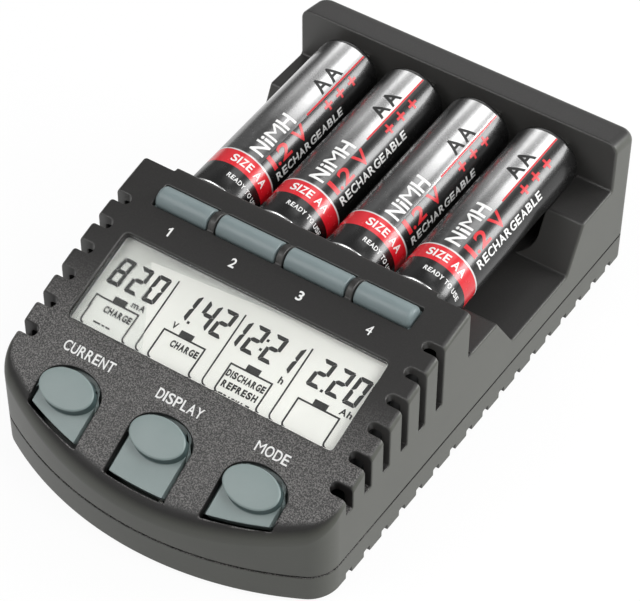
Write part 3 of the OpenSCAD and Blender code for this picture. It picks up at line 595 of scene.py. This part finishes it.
def loft(inset, bottom, steps):
    """The plan, moved in by a distance, whose edge rounds over to the arched top."""
    points, half = outline()
    rings = [[(x, y, bottom) for x, y in plan(inset)]]
    for turn, hold in [(t, 0.0) for t in turns(math.pi / 2, steps)] + [(math.pi / 2, EDGE_RUN)]:
        ring = []
        for x, y, dx, dy, e in points:
            edge = max(e - inset, 0.4)
            inward = inset + edge * (1 - math.cos(turn)) + hold
            y2 = y - dy * inward
            ring.append((x - dx * inward, y2, top_z(y2, inset) - edge * (1 - math.sin(turn))))
        rings.append(ring)
    bm = bmesh.new()
    made = [[bm.verts.new(p) for p in ring] for ring in rings]
    count = len(points)
    skin(bm, made)
    bm.faces.new(made[0][::-1])
    top = made[-1]
    bm.faces.new([top[0], top[1], top[count - 1]])
    for k in range(1, half - 1):
        bm.faces.new([top[k], top[k + 1], top[count - k - 1], top[count - k]])
    return bm


def seam_groove(low, high):
    """A band round the outside of the case that cuts the line between its two halves."""
    bm = bmesh.new()
    corners = ((-1, low), (-1, high), (SEAM_DEPTH, high), (SEAM_DEPTH, low))
    loops = [[bm.verts.new((x, y, z)) for x, y in plan(inset)] for inset, z in corners]
    skin(bm, loops + loops[:1])
    return bm


def jack_hole():
    return stack([[(u, y, SEAM_Z + v) for u, v in circle(JACK_R)] for y in (REAR_Y - 4, REAR_Y + 2)])


def mark_outer(obj):
    """Marks the points on the outside walls of the case, which are painted lighter as painted light."""
    mark = obj.data.attributes.new("outer", "FLOAT", "POINT")
    for k, point in enumerate(obj.data.vertices):
        x, y = abs(point.co.x) / MM, point.co.y / MM
        sides = (HALF_W - x, Vector((1, 0))), (REAR_Y - y, Vector((0, 1)))
        gap, out = min(sides, key=lambda side: side[0])
        if math.atan2(x, FRONT_CY - y) < CORNER_ANGLE and y < 0:
            center, r = Vector((0, FRONT_CY)), FRONT_R
        elif y < CORNER_CY:
            center, r = Vector((CORNER_CX, CORNER_CY)), CORNER_R
        elif y > REAR_CY and x > REAR_CX:
            center, r = Vector((REAR_CX, REAR_CY)), REAR_CORNER_R
        else:
            center = None
        if center:
            spoke = Vector((x, y)) - center
            gap, out = r - spoke.length, spoke.normalized()
        facing = abs(point.normal.x) * out.x + point.normal.y * out.y
        mark.data[k].value = share(gap, 1.3, 0.4) * share(facing, 0.35, 0.75)


def function_outline(i, grow=0.0, front_grow=0.0):
    """A function button seen along its axis: half an oval with an apron cut along the curved front."""
    cos = math.cos(math.asin((FUNCTION_Y - PEAK_Y) / TOP_R))
    r = (FRONT_R - APRON_INSET) / cos
    front = (FRONT_Y + APRON_INSET - FUNCTION_Y) / cos
    a, b = FUNCTION_W / 2 + grow, CAP_L / 2 + grow
    points = [(a * math.cos(t), b * math.sin(t)) for t in turns(math.pi, 40)]
    for k in range(13):
        x = -a + 2 * a * k / 12
        points.append((x, front + r - math.sqrt((r + front_grow) ** 2 - (x + function_x(i)) ** 2)))
    return points


# Cutting bodies of the top shell
def hollow_space():
    """The room inside the top shell, round the battery bay."""
    hollow = raw(loft(WALL, SEAM_Z - 1, 2), "hollow")
    front, rear, small = BAY_FRONT - WALL, BAY_REAR + WALL, SMALL_Y - WALL
    block = [(front, ABOVE), (front, HOLLOW_Z), (small, HOLLOW_Z),
             (small, TRAY_Z), (rear, TRAY_Z), (rear, ABOVE)]
    carve(hollow, "DIFFERENCE", prism(block, -PAST_SIDE, PAST_SIDE, ACROSS))
    bm = bmesh.new()
    bm.from_mesh(hollow.data)
    bm.transform(Matrix.Scale(1 / MM, 4))
    bpy.data.objects.remove(hollow)
    return bm


def battery_bay():
    """The bay seen from the side: two ledges and the sill between them."""
    side = [(RAIL_Y, ABOVE), (RAIL_Y, LEDGE_Z), (BAY_FALL[0], LEDGE_Z), (BAY_FALL[1], SILL_Z),
            (BAY_RISE[0], SILL_Z), (BAY_RISE[1], LEDGE_Z), (BAY_REAR, LEDGE_Z), (BAY_REAR, ABOVE)]
    return prism(side, -PAST_SIDE, PAST_SIDE, ACROSS)


def rail_ends():
    """The room beside the ends of the rail at the front of the bay."""
    bm = bmesh.new()
    depth, middle = RAIL_Y - BAY_FRONT + 0.02, (RAIL_Y + BAY_FRONT) / 2
    for side in (-1, 1):
        end = rectangle(RAIL_END_W, depth, side * RAIL_END_X, middle)
        prism(end, LEDGE_Z, RAIL_END_TOP, bm=bm)
    return bm


def ribs():
    """The arches between the channel buttons."""
    bm = bmesh.new()
    arch = [(CHANNEL_R * math.cos(t), CHANNEL_R * math.sin(t) - CHANNEL_SINK) for t in turns(math.pi, 24)]
    arch += [(-CHANNEL_R, RIB_FOOT), (CHANNEL_R, RIB_FOOT)]
    for i in range(1, 4):
        x = (cell_x(i - 1) + cell_x(i)) / 2
        prism(arch, x - RIB_HALF, x + RIB_HALF, on_top(CHANNEL_Y) @ ACROSS, bm)
    return bm


def cradles():
    """Seats for the large cells, grooves for the small ones, and slots for the contacts."""
    seats, grooves, slots = bmesh.new(), bmesh.new(), bmesh.new()
    for i in CELLS:
        rings = []
        for y in (RAIL_Y, BAY_REAR):
            z = CELL_Z + math.tan(TILT) * (y - CELL_Y)
            rings.append([(cell_x(i) + u, y, z + v) for u, v in circle(CELL_R + SEAT_GAP, n=72)])
        stack(rings, bm=seats)
        x, z, r = cell_x(i), SILL_Z + SMALL_R, SMALL_R
        small = [(x - r * math.cos(t), z - r * math.sin(t)) for t in turns(math.pi, 24)]
        small += [(x + r, LEDGE_Z + 1), (x - r, LEDGE_Z + 1)]
        stack([[(u, y, v) for u, v in small] for y in (SMALL_Y, BAY_REAR)], bm=grooves)
        for y in (RAIL_Y, SMALL_Y, BAY_REAR - SLOT_T):
            prism(rectangle(SLOT_W, SLOT_T, x, y + SLOT_T / 2), TRAY_Z - 1, LEDGE_Z, bm=slots)
    return seats, grooves, slots


def panel_openings():
    """The openings for the display and for all the buttons."""
    bm = bmesh.new()
    prism(rounded(LCD_W, LCD_L, LCD_CORNER), OPENING_LOW, OPENING_TOP, on_top(LCD_Y), bm)
    for i in CELLS:
        slot = rectangle(bar_l(i) + CHANNEL_GAP, CHANNEL_W + CHANNEL_GAP, bar_x(i))
        prism(slot, SLOT_LOW, OPENING_TOP, on_top(CHANNEL_Y), bm)
    for i in range(len(FUNCTIONS)):
        hole = function_outline(i, FUNCTION_GAP, FUNCTION_GAP)
        prism(hole, OPENING_LOW, OPENING_TOP, at_function(i), bm)
    return bm


def vents():
    """The slots over both edges of the control panel."""
    bm = bmesh.new()
    r = VENT_W / 2
    inner, outer = HALF_W - VENT_IN + r, HALF_W + 2
    for side in (-1, 1):
        for k in range(VENTS):
            y = VENT_Y + k * VENT_PITCH + r
            shape = [(inner - r * math.sin(t), y + r * math.cos(t)) for t in turns(math.pi, 14)]
            shape += [(outer, y - r), (outer, y + r)]
            prism([(side * u, v) for u, v in shape], CASE_Z + VENT_H, ABOVE, bm=bm)
    return bm


# Shells
def top_shell():
    shell = raw(loft(0, SEAM_Z - 2, 10), "top_shell_moulding")
    carve(shell, "DIFFERENCE", battery_bay())
    soften(shell, BAY_ROUND, 3, 30)
    carve(shell, "UNION", ribs())
    below = prism(rectangle(90, 140), SEAM_Z - 9, SEAM_Z)
    carve(shell, "DIFFERENCE", hollow_space(), rail_ends(), *cradles(), panel_openings(), vents(),
          jack_hole(), below, seam_groove(SEAM_Z - 1, SEAM_Z + SEAM_GAP))
    soften(shell, SHELL_ROUND)
    even(shell, 50)
    for point in shell.data.vertices:
        point.co.x = min(max(point.co.x, -HALF_W * MM), HALF_W * MM)
    mark_outer(shell)
    finish_piece(shell, CASE, stands_for=("top_shell",))


def base_shell():
    base = raw(prism(plan(0), CASE_Z, SEAM_Z), "base_tray")
    wells, feet, notches, posts = bmesh.new(), bmesh.new(), bmesh.new(), bmesh.new()
    for side in (-1, 1):
        for x, y in SCREW_POSTS:
            prism(circle(POST_R, side * x, y), CASE_Z + 0.5, SEAM_Z - 0.2, bm=posts)
            prism(circle(WELL_R, side * x, y), CASE_Z - 1, CASE_Z + WELL_H, bm=wells)
        for x, y in FEET:
            prism(circle(FOOT_R, side * x, y), CASE_Z - 1, CASE_Z + FOOT_SINK, bm=feet)
        for k in range(NOTCHES):
            notch = rectangle(10, NOTCH_W, side * (NOTCH_IN + 5), NOTCH_Y + k * VENT_PITCH)
            prism(notch, CASE_Z - 1, CASE_Z + NOTCH_H, bm=notches)
    carve(base, "DIFFERENCE", prism(plan(WALL), FLOOR_Z, SEAM_Z + 2))
    carve(base, "UNION", posts)
    carve(base, "DIFFERENCE", wells, feet, notches, jack_hole(), seam_groove(SEAM_Z - SEAM_GAP, SEAM_Z + 1))
    soften(base, BASE_ROUND)
    even(base, 50)
    mark_outer(base)
    finish_piece(base, CASE, stands_for=("base_shell",))


# Buttons
def channel_button(i):
    profile = []
    for end, outermost in ((-1, i == 0), (1, i == 3)):
        r = 1.0 if outermost else 0.3
        part = [(end * (bar_l(i) / 2 - r + r * math.sin(t)), CHANNEL_R - r + r * math.cos(t))
                for t in turns(math.pi / 2, 5)]
        profile += part[::-1] if end < 0 else part
    sections = []
    for x, r in profile:
        ring = [(x, -r * math.cos(t), -CHANNEL_SINK + r * math.sin(t)) for t in turns(math.pi, 28)]
        sections.append(ring + [(x, r * 0.97, BAR_FOOT), (x, -r * 0.97, BAR_FOOT)])
    place = on_top(CHANNEL_Y) @ Matrix.Translation((bar_x(i), 0, 0))
    foot = on_top(CHANNEL_Y) @ Matrix.Translation((cell_x(i), 0, 0))
    obj = raw(stack(sections, place), f"channel_bar_{i + 1}")
    flange = rectangle(bar_l(i) + CHANNEL_FLANGE[0], CHANNEL_W + CHANNEL_FLANGE[1])
    carve(obj, "UNION", prism(rectangle(bar_l(i), CHANNEL_W - 0.1), FLANGE_Z, -1.0, place),
          prism(flange, FLANGE_Z, FLANGE_Z + FLANGE_T, place),
          prism(circle(PLUNGER_R, n=32), CHANNEL_END, FLANGE_Z + 0.2, foot))
    smooth(obj, 40)
    finish_piece(obj, BUTTON, f"channel_{i + 1}", (f"channel_button_{i + 1}",))


def function_button(i, name):
    place = at_function(i)
    a, b = FUNCTION_W / 2, CAP_L / 2
    around = turns(2 * math.pi, 72)[:-1]
    # Each level of the cap: its height, how far its foot runs out at the front, how far its edge comes in
    levels = [(-0.8, 0.0, 0.0), (-APRON_RECESS, 0.45, 0.0), (-APRON_RECESS + 0.14, 0.24, 0.0),
              (-APRON_RECESS + 0.45, 0.0, 0.0)]
    for t in turns(math.pi / 2, 5):
        levels.append((CAP_H - CAP_EDGE + CAP_EDGE * math.sin(t), 0.0, CAP_EDGE * (1 - math.cos(t))))
    rings = []
    for z, foot, inset in levels:
        ring = []
        for t in around:
            out = foot * max(0.0, -math.sin(t)) ** 0.7 - inset
            ring.append(((a + min(out, 0.0)) * math.cos(t), (b + out) * math.sin(t), z))
        rings.append(ring)
    for part, rise in ((0.75, 0.06), (0.5, 0.11), (0.25, 0.14)):
        w, h, z = part * (a - CAP_EDGE), part * (b - CAP_EDGE), CAP_H + rise
        rings.append([(w * math.cos(t), h * math.sin(t), z) for t in around])
    flange = function_outline(i, FUNCTION_FLANGE, FUNCTION_FRONT)
    obj = raw(prism(function_outline(i), FLANGE_Z, -APRON_RECESS, place), f"{name}_cap")
    carve(obj, "UNION", stack(rings, place), prism(flange, FLANGE_Z, FLANGE_Z + FLANGE_T, place),
          prism(circle(PLUNGER_R, n=32), FUNCTION_END, FLANGE_Z + 0.2, place))
    soften(obj, APRON_ROUND, 2, 55)
    even(obj, 50)
    finish_piece(obj, FUNCTION, name, (f"{name}_button",))


# Lettering: the width of a character and the gap after it, as shares of the height of a capital
CHARACTER_W, CHARACTER_GAP = 0.66, 0.11
OWN_W = {"I": 0.18, "i": 0.18, ".": 0.16, " ": 0.20, "1": 0.22, "E": 0.58, "F": 0.56, "L": 0.54, "h": 0.50,
         "M": 0.80, "m": 0.86, "G": 0.70, "O": 0.72, "A": 0.72, "V": 0.72}


def character(char, bold):
    """One flat character: its points and faces."""
    curve = bpy.data.curves.new("character", "FONT")
    curve.body, curve.offset, curve.resolution_u = char, bold, 6
    text = bpy.data.objects.new("character", curve)
    scene.collection.objects.link(text)
    bpy.context.view_layer.update()
    mesh = final_mesh(text)
    points = [v.co.copy() for v in mesh.vertices]
    faces = [list(f.vertices) for f in mesh.polygons]
    bpy.data.objects.remove(text)
    bpy.data.curves.remove(curve)
    bpy.data.meshes.remove(mesh)
    return points, faces


def lettering(words, width, height, thickness, bold):
    """Plain words as a thin mesh in millimetres, centred on the origin, in narrow even characters."""
    bm = bmesh.new()
    place = 0.0
    for char in words:
        w = OWN_W.get(char, CHARACTER_W)
        if char != " ":
            # A capital M would fill up with added weight
            points, faces = character(char, 0.0 if char == "M" else bold)
            low, high = min(p.x for p in points), max(p.x for p in points)
            made = [bm.verts.new((place + w * (p.x - low) / (high - low), p.y, 0)) for p in points]
            for face in faces:
                bm.faces.new([made[k] for k in face])
        place += w + CHARACTER_GAP
    low, high = min(v.co.y for v in bm.verts), max(v.co.y for v in bm.verts)
    end = place - CHARACTER_GAP
    for v in bm.verts:
        x, y = v.co.x / end - 0.5, (v.co.y - low) / (high - low) - 0.5
        v.co = Vector((x * width, y * height, 0))
    bmesh.ops.remove_doubles(bm, verts=bm.verts, dist=0.0005)
    made = bmesh.ops.extrude_face_region(bm, geom=bm.faces[:])
    for item in made["geom"]:
        if isinstance(item, bmesh.types.BMVert):
            item.co.z += thickness
    return bm


def panel_words(name, words, x, y, width, height, bold):
    bm = lettering(words, width, height, 2 * PRINT_HALF, bold)
    bm.transform(on_top(y) @ Matrix.Translation((x, 0, -PRINT_HALF)))
    finish_piece(raw(bm, name), WHITE_INK)


def number_one(x, y):
    """The figure 1, with its flag."""
    shape = [(0.38, -1.05), (0.38, 1.05), (0.10, 1.05), (-0.10, 0.80),
             (-0.42, 0.62), (-0.42, 0.32), (0.0, 0.48), (0.0, -1.05)]
    place = on_top(y) @ Matrix.Translation((x, 0, 0))
    finish_piece(raw(prism(shape, -PRINT_HALF, PRINT_HALF, place), "number_1"), WHITE_INK)


# Display: places are counted in about twentieths of a millimetre from its upper left corner
def lcd_point(px, py):
    return px / 19.85 - 31.65, 10.70 - py / 20 - px / 4000


LCD_PLACE = on_top(LCD_Y) @ Matrix.Translation((0, 0, -GLASS_TOP))
SEGMENTS = {"0": "abcdef", "1": "bc", "2": "abged", "4": "fgbc", "8": "abcdefg"}
# Each digit and its left edge, all on one base line
DIGITS = (("8", 60), ("2", 142), ("0", 224), ("1", 372), ("4", 462), ("2", 534), ("1", 602), ("2", 679),
          ("2", 760), ("1", 838), ("2", 975), ("2", 1057), ("0", 1133))
DIGIT_BASE, DASH_Y, FRAME_TOP, FRAME_LOW, TERMINAL_Y, DIVIDER_TOP = 214, 374, 274, 398, 260, 80
DASHES = ((113, 146), (152, 165), (170, 190))
DOTS = ((446, 215), (1046, 215), (752, 180), (758, 136))
# Each battery frame: its left and right line and its terminal
FRAMES = ((63, 257, 162), (379, 566, 472), (685, 869, 776), (985, 1165, 1074))
DIVIDERS = (318, 625, 926)
# Sizes of dots, terminals, bends and lines in millimetres
DOT, TERMINAL, FRAME_R, DIVIDER_R = 0.55, (3.0, 1.35), 0.9, 1.2
FRAME_LINE, THIN_LINE, LINE_END = 0.36, 0.34, 0.15
# Each word with its middle, its width and its height
LCD_WORDS = (
    ("mA", 238, 244, 60, 27),
    ("V", 408, 243, 24, 28),
    ("h", 891, 245, 19, 30),
    ("Ah", 1176, 244, 52, 28),
    ("CHARGE", 184, 310, 126, 30),
    ("CHARGE", 495, 310, 124, 30),
    ("DISCHARGE", 775, 310, 170, 30),
    ("REFRESH", 775, 355, 156, 30),
    ("TRICKLE", 775, 405, 140, 28),
)


def lcd_shape(bm, points):
    prism(points, INK_LOW, INK_HIGH, LCD_PLACE, bm)


def segment_digit(bm, digit, x, y, w=3.0, h=6.2, t=0.84, gap=0.03, slant=0.09, cut=0.18):
    """A slanted seven segment digit with its lower left corner at a place."""
    m = h / 2
    shapes = {
        "a": [(cut + gap, h - cut), (2 * cut, h), (w - 2 * cut, h), (w - cut - gap, h - cut),
              (w - t - gap, h - t), (t + gap, h - t)],
        "d": [(cut + gap, cut), (t + gap, t), (w - t - gap, t), (w - cut - gap, cut),
              (w - 2 * cut, 0), (2 * cut, 0)],
        "g": [(t * 0.5 + gap, m), (t + gap, m + t / 2), (w - t - gap, m + t / 2), (w - t * 0.5 - gap, m),
              (w - t - gap, m - t / 2), (t + gap, m - t / 2)],
        "f": [(0, h - 2 * cut), (cut, h - cut - gap), (t, h - t - gap), (t, m + t / 2 + gap),
              (t * 0.5, m + gap), (0, m + gap)],
        "b": [(w, h - 2 * cut), (w, m + gap), (w - t * 0.5, m + gap), (w - t, m + t / 2 + gap),
              (w - t, h - t - gap), (w - cut, h - cut - gap)],
        "e": [(0, 2 * cut), (0, m - gap), (t * 0.5, m - gap), (t, m - t / 2 - gap), (t, t + gap),
              (cut, cut + gap)],
        "c": [(w, 2 * cut), (w - cut, cut + gap), (w - t, t + gap), (w - t, m - t / 2 - gap),
              (w - t * 0.5, m - gap), (w, m - gap)],
    }
    for name in SEGMENTS[digit]:
        lcd_shape(bm, [(x + u + slant * v, y + v) for u, v in shapes[name]])


def lcd_line(bm, points, t=FRAME_LINE):
    """A bent line of even thickness on the display."""
    left, right = [], []
    for k, (x, y) in enumerate(points):
        ax, ay = points[max(k - 1, 0)]
        bx, by = points[min(k + 1, len(points) - 1)]
        size = math.hypot(bx - ax, by - ay)
        nx, ny = -(by - ay) / size * t / 2, (bx - ax) / size * t / 2
        left.append((x + nx, y + ny))
        right.append((x - nx, y - ny))
    lcd_shape(bm, left + right[::-1])


def lcd_bend(x, low, r):
    """A rounded corner from a line at a place across down to a low line, to the right."""
    return [(x + r - r * math.cos(t), low + r - r * math.sin(t)) for t in turns(math.pi / 2, 6)]


def lcd_content():
    bm = bmesh.new()
    for digit, px in DIGITS:
        segment_digit(bm, digit, *lcd_point(px, DIGIT_BASE))
    for px, end in DASHES:
        lcd_line(bm, [lcd_point(px, DASH_Y), lcd_point(end, DASH_Y)], THIN_LINE)
    for px, py in DOTS:
        x, y = lcd_point(px, py)
        lcd_shape(bm, rectangle(DOT, DOT, x, y + 0.25))
    for left, right, terminal in FRAMES:
        lcd_shape(bm, rectangle(*TERMINAL, *lcd_point(terminal, TERMINAL_Y)))
        x0, y0 = lcd_point(left, FRAME_TOP)
        x1 = lcd_point(right, FRAME_TOP)[0]
        low = lcd_point(left, FRAME_LOW)[1]
        lcd_line(bm, lcd_bend(x0, low, FRAME_R)[::-1] + [(x0, y0 - LINE_END)])
        lcd_line(bm, [(x0 - LINE_END, y0), (x1 + LINE_END, y0)])
        lcd_line(bm, [(x1, y0 - LINE_END)] + lcd_bend(x1, low, FRAME_R))
    for px in DIVIDERS:
        x, y = lcd_point(px, DIVIDER_TOP)
        low = lcd_point(px, FRAME_LOW)[1]
        lcd_line(bm, [(x, y)] + lcd_bend(x, low, DIVIDER_R), THIN_LINE)
    finish_piece(raw(bm, "lcd_segments"), LCD_INK)
    for k, (word, px, py, w, h) in enumerate(LCD_WORDS):
        bold = 0.05 if len(word) > 2 else 0.03
        letters = lettering(word, w / 20, h / 20, INK_HIGH - INK_LOW, bold)
        letters.transform(LCD_PLACE @ Matrix.Translation((*lcd_point(px, py), INK_LOW)))
        finish_piece(raw(letters, f"lcd_word_{k + 1}"), LCD_INK)


def display_window():
    """Clear block with a rounded rim, on the flange that holds it from below."""
    levels = [(WINDOW_STEP, 0.0)]
    for t in (0, 0.4, 0.8, 1.2, math.pi / 2):
        levels.append((WINDOW_TOP - WINDOW_EDGE * (1 - math.sin(t)), WINDOW_EDGE * (1 - math.cos(t))))
    rings = []
    for z, inset in levels:
        w, h = LCD_W - WINDOW_GAP - 2 * inset, LCD_L - WINDOW_GAP - 2 * inset
        corner = LCD_CORNER - WINDOW_GAP / 2 - inset * 0.8
        rings.append([(x, y, z) for x, y in rounded(w, h, corner)])
    obj = raw(stack(rings, on_top(LCD_Y)), "display_window")
    flange = rectangle(LCD_W + 4, LCD_L + 4)
    carve(obj, "UNION", prism(flange, WINDOW_BOTTOM, WINDOW_STEP, on_top(LCD_Y)))
    even(obj, 40)
    finish_piece(obj, WINDOW, stands_for=("lcd_window",))
    # The block's sides are black, so that no light runs along its edges
    obj.data.materials.append(BLACK)
    face_out = on_top(LCD_Y).to_3x3() @ Vector((0, 0, 1))
    for face in obj.data.polygons:
        depth = (on_top(LCD_Y).inverted() @ (face.center / MM)).z
        if abs(face.normal.dot(face_out)) < 0.3 and depth > WINDOW_STEP:
            face.material_index = 1


# Each word on a cell: its place along the can, turn, width, height, ink, and whether it runs round the can
CELL_WORDS = (
    ("SIZE AA", 8.3, 22, 9.0, 2.0, WHITE_INK, True),
    ("READY TO USE", 4.0, 40, 9.6, 1.15, WHITE_INK, True),
    ("NiMH", 18.0, 10, 12.0, 3.3, WHITE_INK, False),
    ("1.2 V", 18.6, 41, 12.0, 3.2, RED_INK, False),
    ("RECHARGEABLE", 24.0, 67, 23.0, 1.9, WHITE_INK, False),
    ("+ + +", 37.0, 41, 11.0, 2.2, RED_INK, False),
    ("AA", 37.0, 9, 7.6, 3.3, BLACK_INK, False),
)
WORD_STEP = 0.3


def cell_profile():
    """Half the outline of a cell, as radius and height."""
    can, shoulder, nub = CELL_L - 1.3, 1.4, 2.75
    points = [(0.0, 0.3), (5.6, 0.3), (6.0, 0.02), (6.55, 0.0), (6.8, 0.06), (7.0, 0.24), (7.1, 0.5)]
    points += [(7.1, z) for z in (5, 20, 35)]
    for t in turns(math.pi / 2, 8):
        points.append((CELL_R - shoulder + shoulder * math.cos(t), can - shoulder + shoulder * math.sin(t)))
    points += [(4.4, can), (4.1, can - 0.25), (3.0, can - 0.25), (nub, can - 0.1)]
    return points + [(nub, CELL_L - 0.25), (2.55, CELL_L), (0.0, CELL_L)]


def cell_can(i):
    bm = bmesh.new()
    count = 96
    rings = []
    for r, z in cell_profile():
        around = circle(r, n=count) if r else [(0, 0)]
        rings.append([bm.verts.new((x, y, z)) for x, y in around])
    for low, high in zip(rings, rings[1:]):
        for k in range(count):
            corners = [low[(k - 1) % len(low)], low[k % len(low)]]
            corners += [high[k % len(high)], high[(k - 1) % len(high)]]
            bm.faces.new(list(dict.fromkeys(corners)))
    obj = raw(bm, f"cell_can_{i + 1}")
    place = at_cell(i)
    obj.matrix_world = Matrix.Translation(place.translation * MM) @ place.to_3x3().to_4x4()
    smooth(obj, 35)
    turned = obj.data.attributes.new("turned", "FLOAT", "POINT")
    turned.data.foreach_set("value", [CELL_TURNS[i]] * len(obj.data.vertices))
    finish_piece(obj, SLEEVE, stands_for=(f"cell_{i + 1}",))


def cell_words(i):
    for k, (text, z, turn, w, h, material, round_can) in enumerate(CELL_WORDS):
        letters = lettering(text, w, h, INK_HIGH - INK_LOW, 0.02)
        # Cut across in narrow strips, so that the letters can bend
        axis, reach = (Vector((1, 0, 0)), w / 2) if round_can else (Vector((0, 1, 0)), h / 2)
        steps = int(reach / WORD_STEP)
        for cut in range(2 * steps + 1):
            parts = letters.verts[:] + letters.edges[:] + letters.faces[:]
            at = axis * (cut * WORD_STEP - steps * WORD_STEP)
            bmesh.ops.bisect_plane(letters, geom=parts, plane_co=at, plane_no=axis)
        for v in letters.verts:
            along, over = (v.co.y, -v.co.x) if round_can else (v.co.x, v.co.y)
            angle = math.radians(turn + CELL_TURNS[i]) - over / CELL_R
            r = CELL_R + SKIN + v.co.z
            v.co = Vector((r * math.sin(angle), -r * math.cos(angle), z + along))
        letters.transform(at_cell(i))
        finish_piece(raw(letters, f"cell_{i + 1}_word_{k + 1}"), material)


# Build the part
top_shell()
base_shell()
for i in CELLS:
    channel_button(i)
    cell_can(i)
    cell_words(i)
for i, name in enumerate(FUNCTIONS):
    function_button(i, name)
lcd_content()
display_window()
NUMBER_Y, NUMBER_W, NUMBER_H, LABEL_H, LABEL_BOLD = -14.75, 1.25, 2.1, 2.15, 0.012
number_one(-22.5, NUMBER_Y)
for i, x, bold in ((2, -7.6, 0.02), (3, 7.7, 0.02), (4, 23.1, 0.0)):
    panel_words(f"number_{i}", str(i), x, NUMBER_Y, NUMBER_W, NUMBER_H, bold)
panel_words("label_current", "CURRENT", -21.3, -42.1, 11.6, LABEL_H, LABEL_BOLD)
panel_words("label_display", "DISPLAY", -0.3, -42.15, 10.2, LABEL_H, LABEL_BOLD)
panel_words("label_mode", "MODE", 20.55, -42.35, 7.2, LABEL_H, LABEL_BOLD)

# Finish of the solids that are shown as they are
FINISH = {"lcd_panel": LCD, "lcd_holder": BLACK, "lcd_connector_strips": STRIP, "control_board": BOARD,
          "main_board": BOARD, "tact_switches": BLACK, "controller_chip": BLACK, "power_inductors": BLACK,
          "power_transistors": BLACK, "filter_capacitors": CAN, "flat_cable": CABLE,
          "cable_connectors": IVORY, "dc_jack": BLACK, "jack_pin": STEEL, "case_screws": SCREW,
          "board_screws": SCREW, "rubber_feet": RUBBER}
for name, node in nodes.items():
    material = STEEL if "contact" in name else FINISH.get(name)
    if material:
        node.data.materials.clear()
        node.data.materials.append(material)


# Stage, light and camera
def stage():
    """A wide floor that looks white and keeps a soft shadow."""
    bm = bmesh.new()
    bmesh.ops.create_grid(bm, x_segments=1, y_segments=1, size=4000)
    floor = raw(bm, "floor")
    n = Nodes("floor")
    n.tree.nodes.remove(n.shader)
    path = n.add("ShaderNodeLightPath").outputs
    mirrored = n.math("MAXIMUM", path["Is Glossy Ray"], path["Is Transmission Ray"])
    seen = n.math("MAXIMUM", path["Is Camera Ray"], mirrored)
    diffuse, glow = n.add("ShaderNodeBsdfDiffuse"), n.add("ShaderNodeEmission")
    blend = n.add("ShaderNodeMixShader")
    n.feed(diffuse.inputs["Color"], grey(0.86))
    n.feed(glow.inputs["Color"], grey(1))
    n.feed(blend.inputs[0], n.math("MULTIPLY", seen, 0.93))
    n.feed(blend.inputs[1], diffuse.outputs[0])
    n.feed(blend.inputs[2], glow.outputs[0])
    n.feed(n.output.inputs["Surface"], blend.outputs[0])
    floor.data.materials.append(n.material)


def world():
    """White to the camera; to the part, soft light that is brightest halfway up."""
    studio = bpy.data.worlds.new("studio")
    scene.world = studio
    studio.use_nodes = True
    tree = studio.node_tree
    background = tree.nodes["Background"]
    coords = tree.nodes.new("ShaderNodeTexCoord")
    split = tree.nodes.new("ShaderNodeSeparateXYZ")
    ramp = tree.nodes.new("ShaderNodeValToRGB")
    path = tree.nodes.new("ShaderNodeLightPath")
    mix = tree.nodes.new("ShaderNodeMix")
    tree.links.new(coords.outputs["Generated"], split.inputs[0])
    tree.links.new(split.outputs["Z"], ramp.inputs[0])
    elements = ramp.color_ramp.elements
    elements[0].position, elements[0].color = 0.0, grey(0.12)
    elements[1].position, elements[1].color = 0.55, grey(0.44)
    elements.new(0.88).color = grey(0.26)
    mix.data_type = "RGBA"
    tree.links.new(path.outputs["Is Camera Ray"], mix.inputs[0])
    tree.links.new(ramp.outputs[0], mix.inputs[6])
    mix.inputs[7].default_value = grey(1)
    tree.links.new(mix.outputs[2], background.inputs["Color"])
    background.inputs["Strength"].default_value = 1.0


def lamp(name, direction, distance, size, power):
    """A flat lamp that looks at the part from a direction."""
    data = bpy.data.lights.new(name, "AREA")
    data.shape, data.size, data.size_y, data.energy = "RECTANGLE", size[0], size[1], power
    obj = bpy.data.objects.new(name, data)
    scene.collection.objects.link(obj)
    aim = Vector(direction).normalized()
    obj.location = Vector((0, 0, 0.02)) + aim * distance
    obj.rotation_mode = "QUATERNION"
    obj.rotation_quaternion = (-aim).to_track_quat("-Z", "Y")


def camera():
    """The camera that was fitted to the photograph, 640 pixels wide."""
    focal_px, photo_w, sensor = 2587.94, 640, 36.0
    data = bpy.data.cameras.new("camera")
    data.sensor_fit, data.sensor_width, data.lens = "HORIZONTAL", sensor, focal_px / photo_w * sensor
    data.clip_start, data.clip_end = 0.05, 20
    obj = bpy.data.objects.new("camera", data)
    scene.collection.objects.link(obj)
    right = Vector((0.82829785, 0.5602766, 0.00357708))
    up = Vector((-0.40582782, 0.59553869, 0.69328021))
    place = Vector((0.196913, -0.290111, 0.380117))
    turn = Matrix((right, up, right.cross(up))).transposed()
    obj.matrix_world = Matrix.Translation(place) @ turn.to_4x4()
    scene.camera = obj


stage()
world()
lamp("key", (-0.40, -0.50, 0.77), 0.9, (0.55, 0.45), 3.15)
lamp("side", (0.72, 0.55, 0.38), 0.9, (0.5, 0.25), 5.3)
lamp("rear", (0.10, 0.58, 0.80), 0.9, (0.45, 0.45), 1.15)
lamp("fill", (0.55, -0.10, 0.83), 0.5, (0.22, 0.22), 1.1)
lamp("back", (-0.39, 0.81, 0.44), 0.9, (0.5, 0.3), 0.6)
camera()
scene.view_settings.view_transform = "Standard"
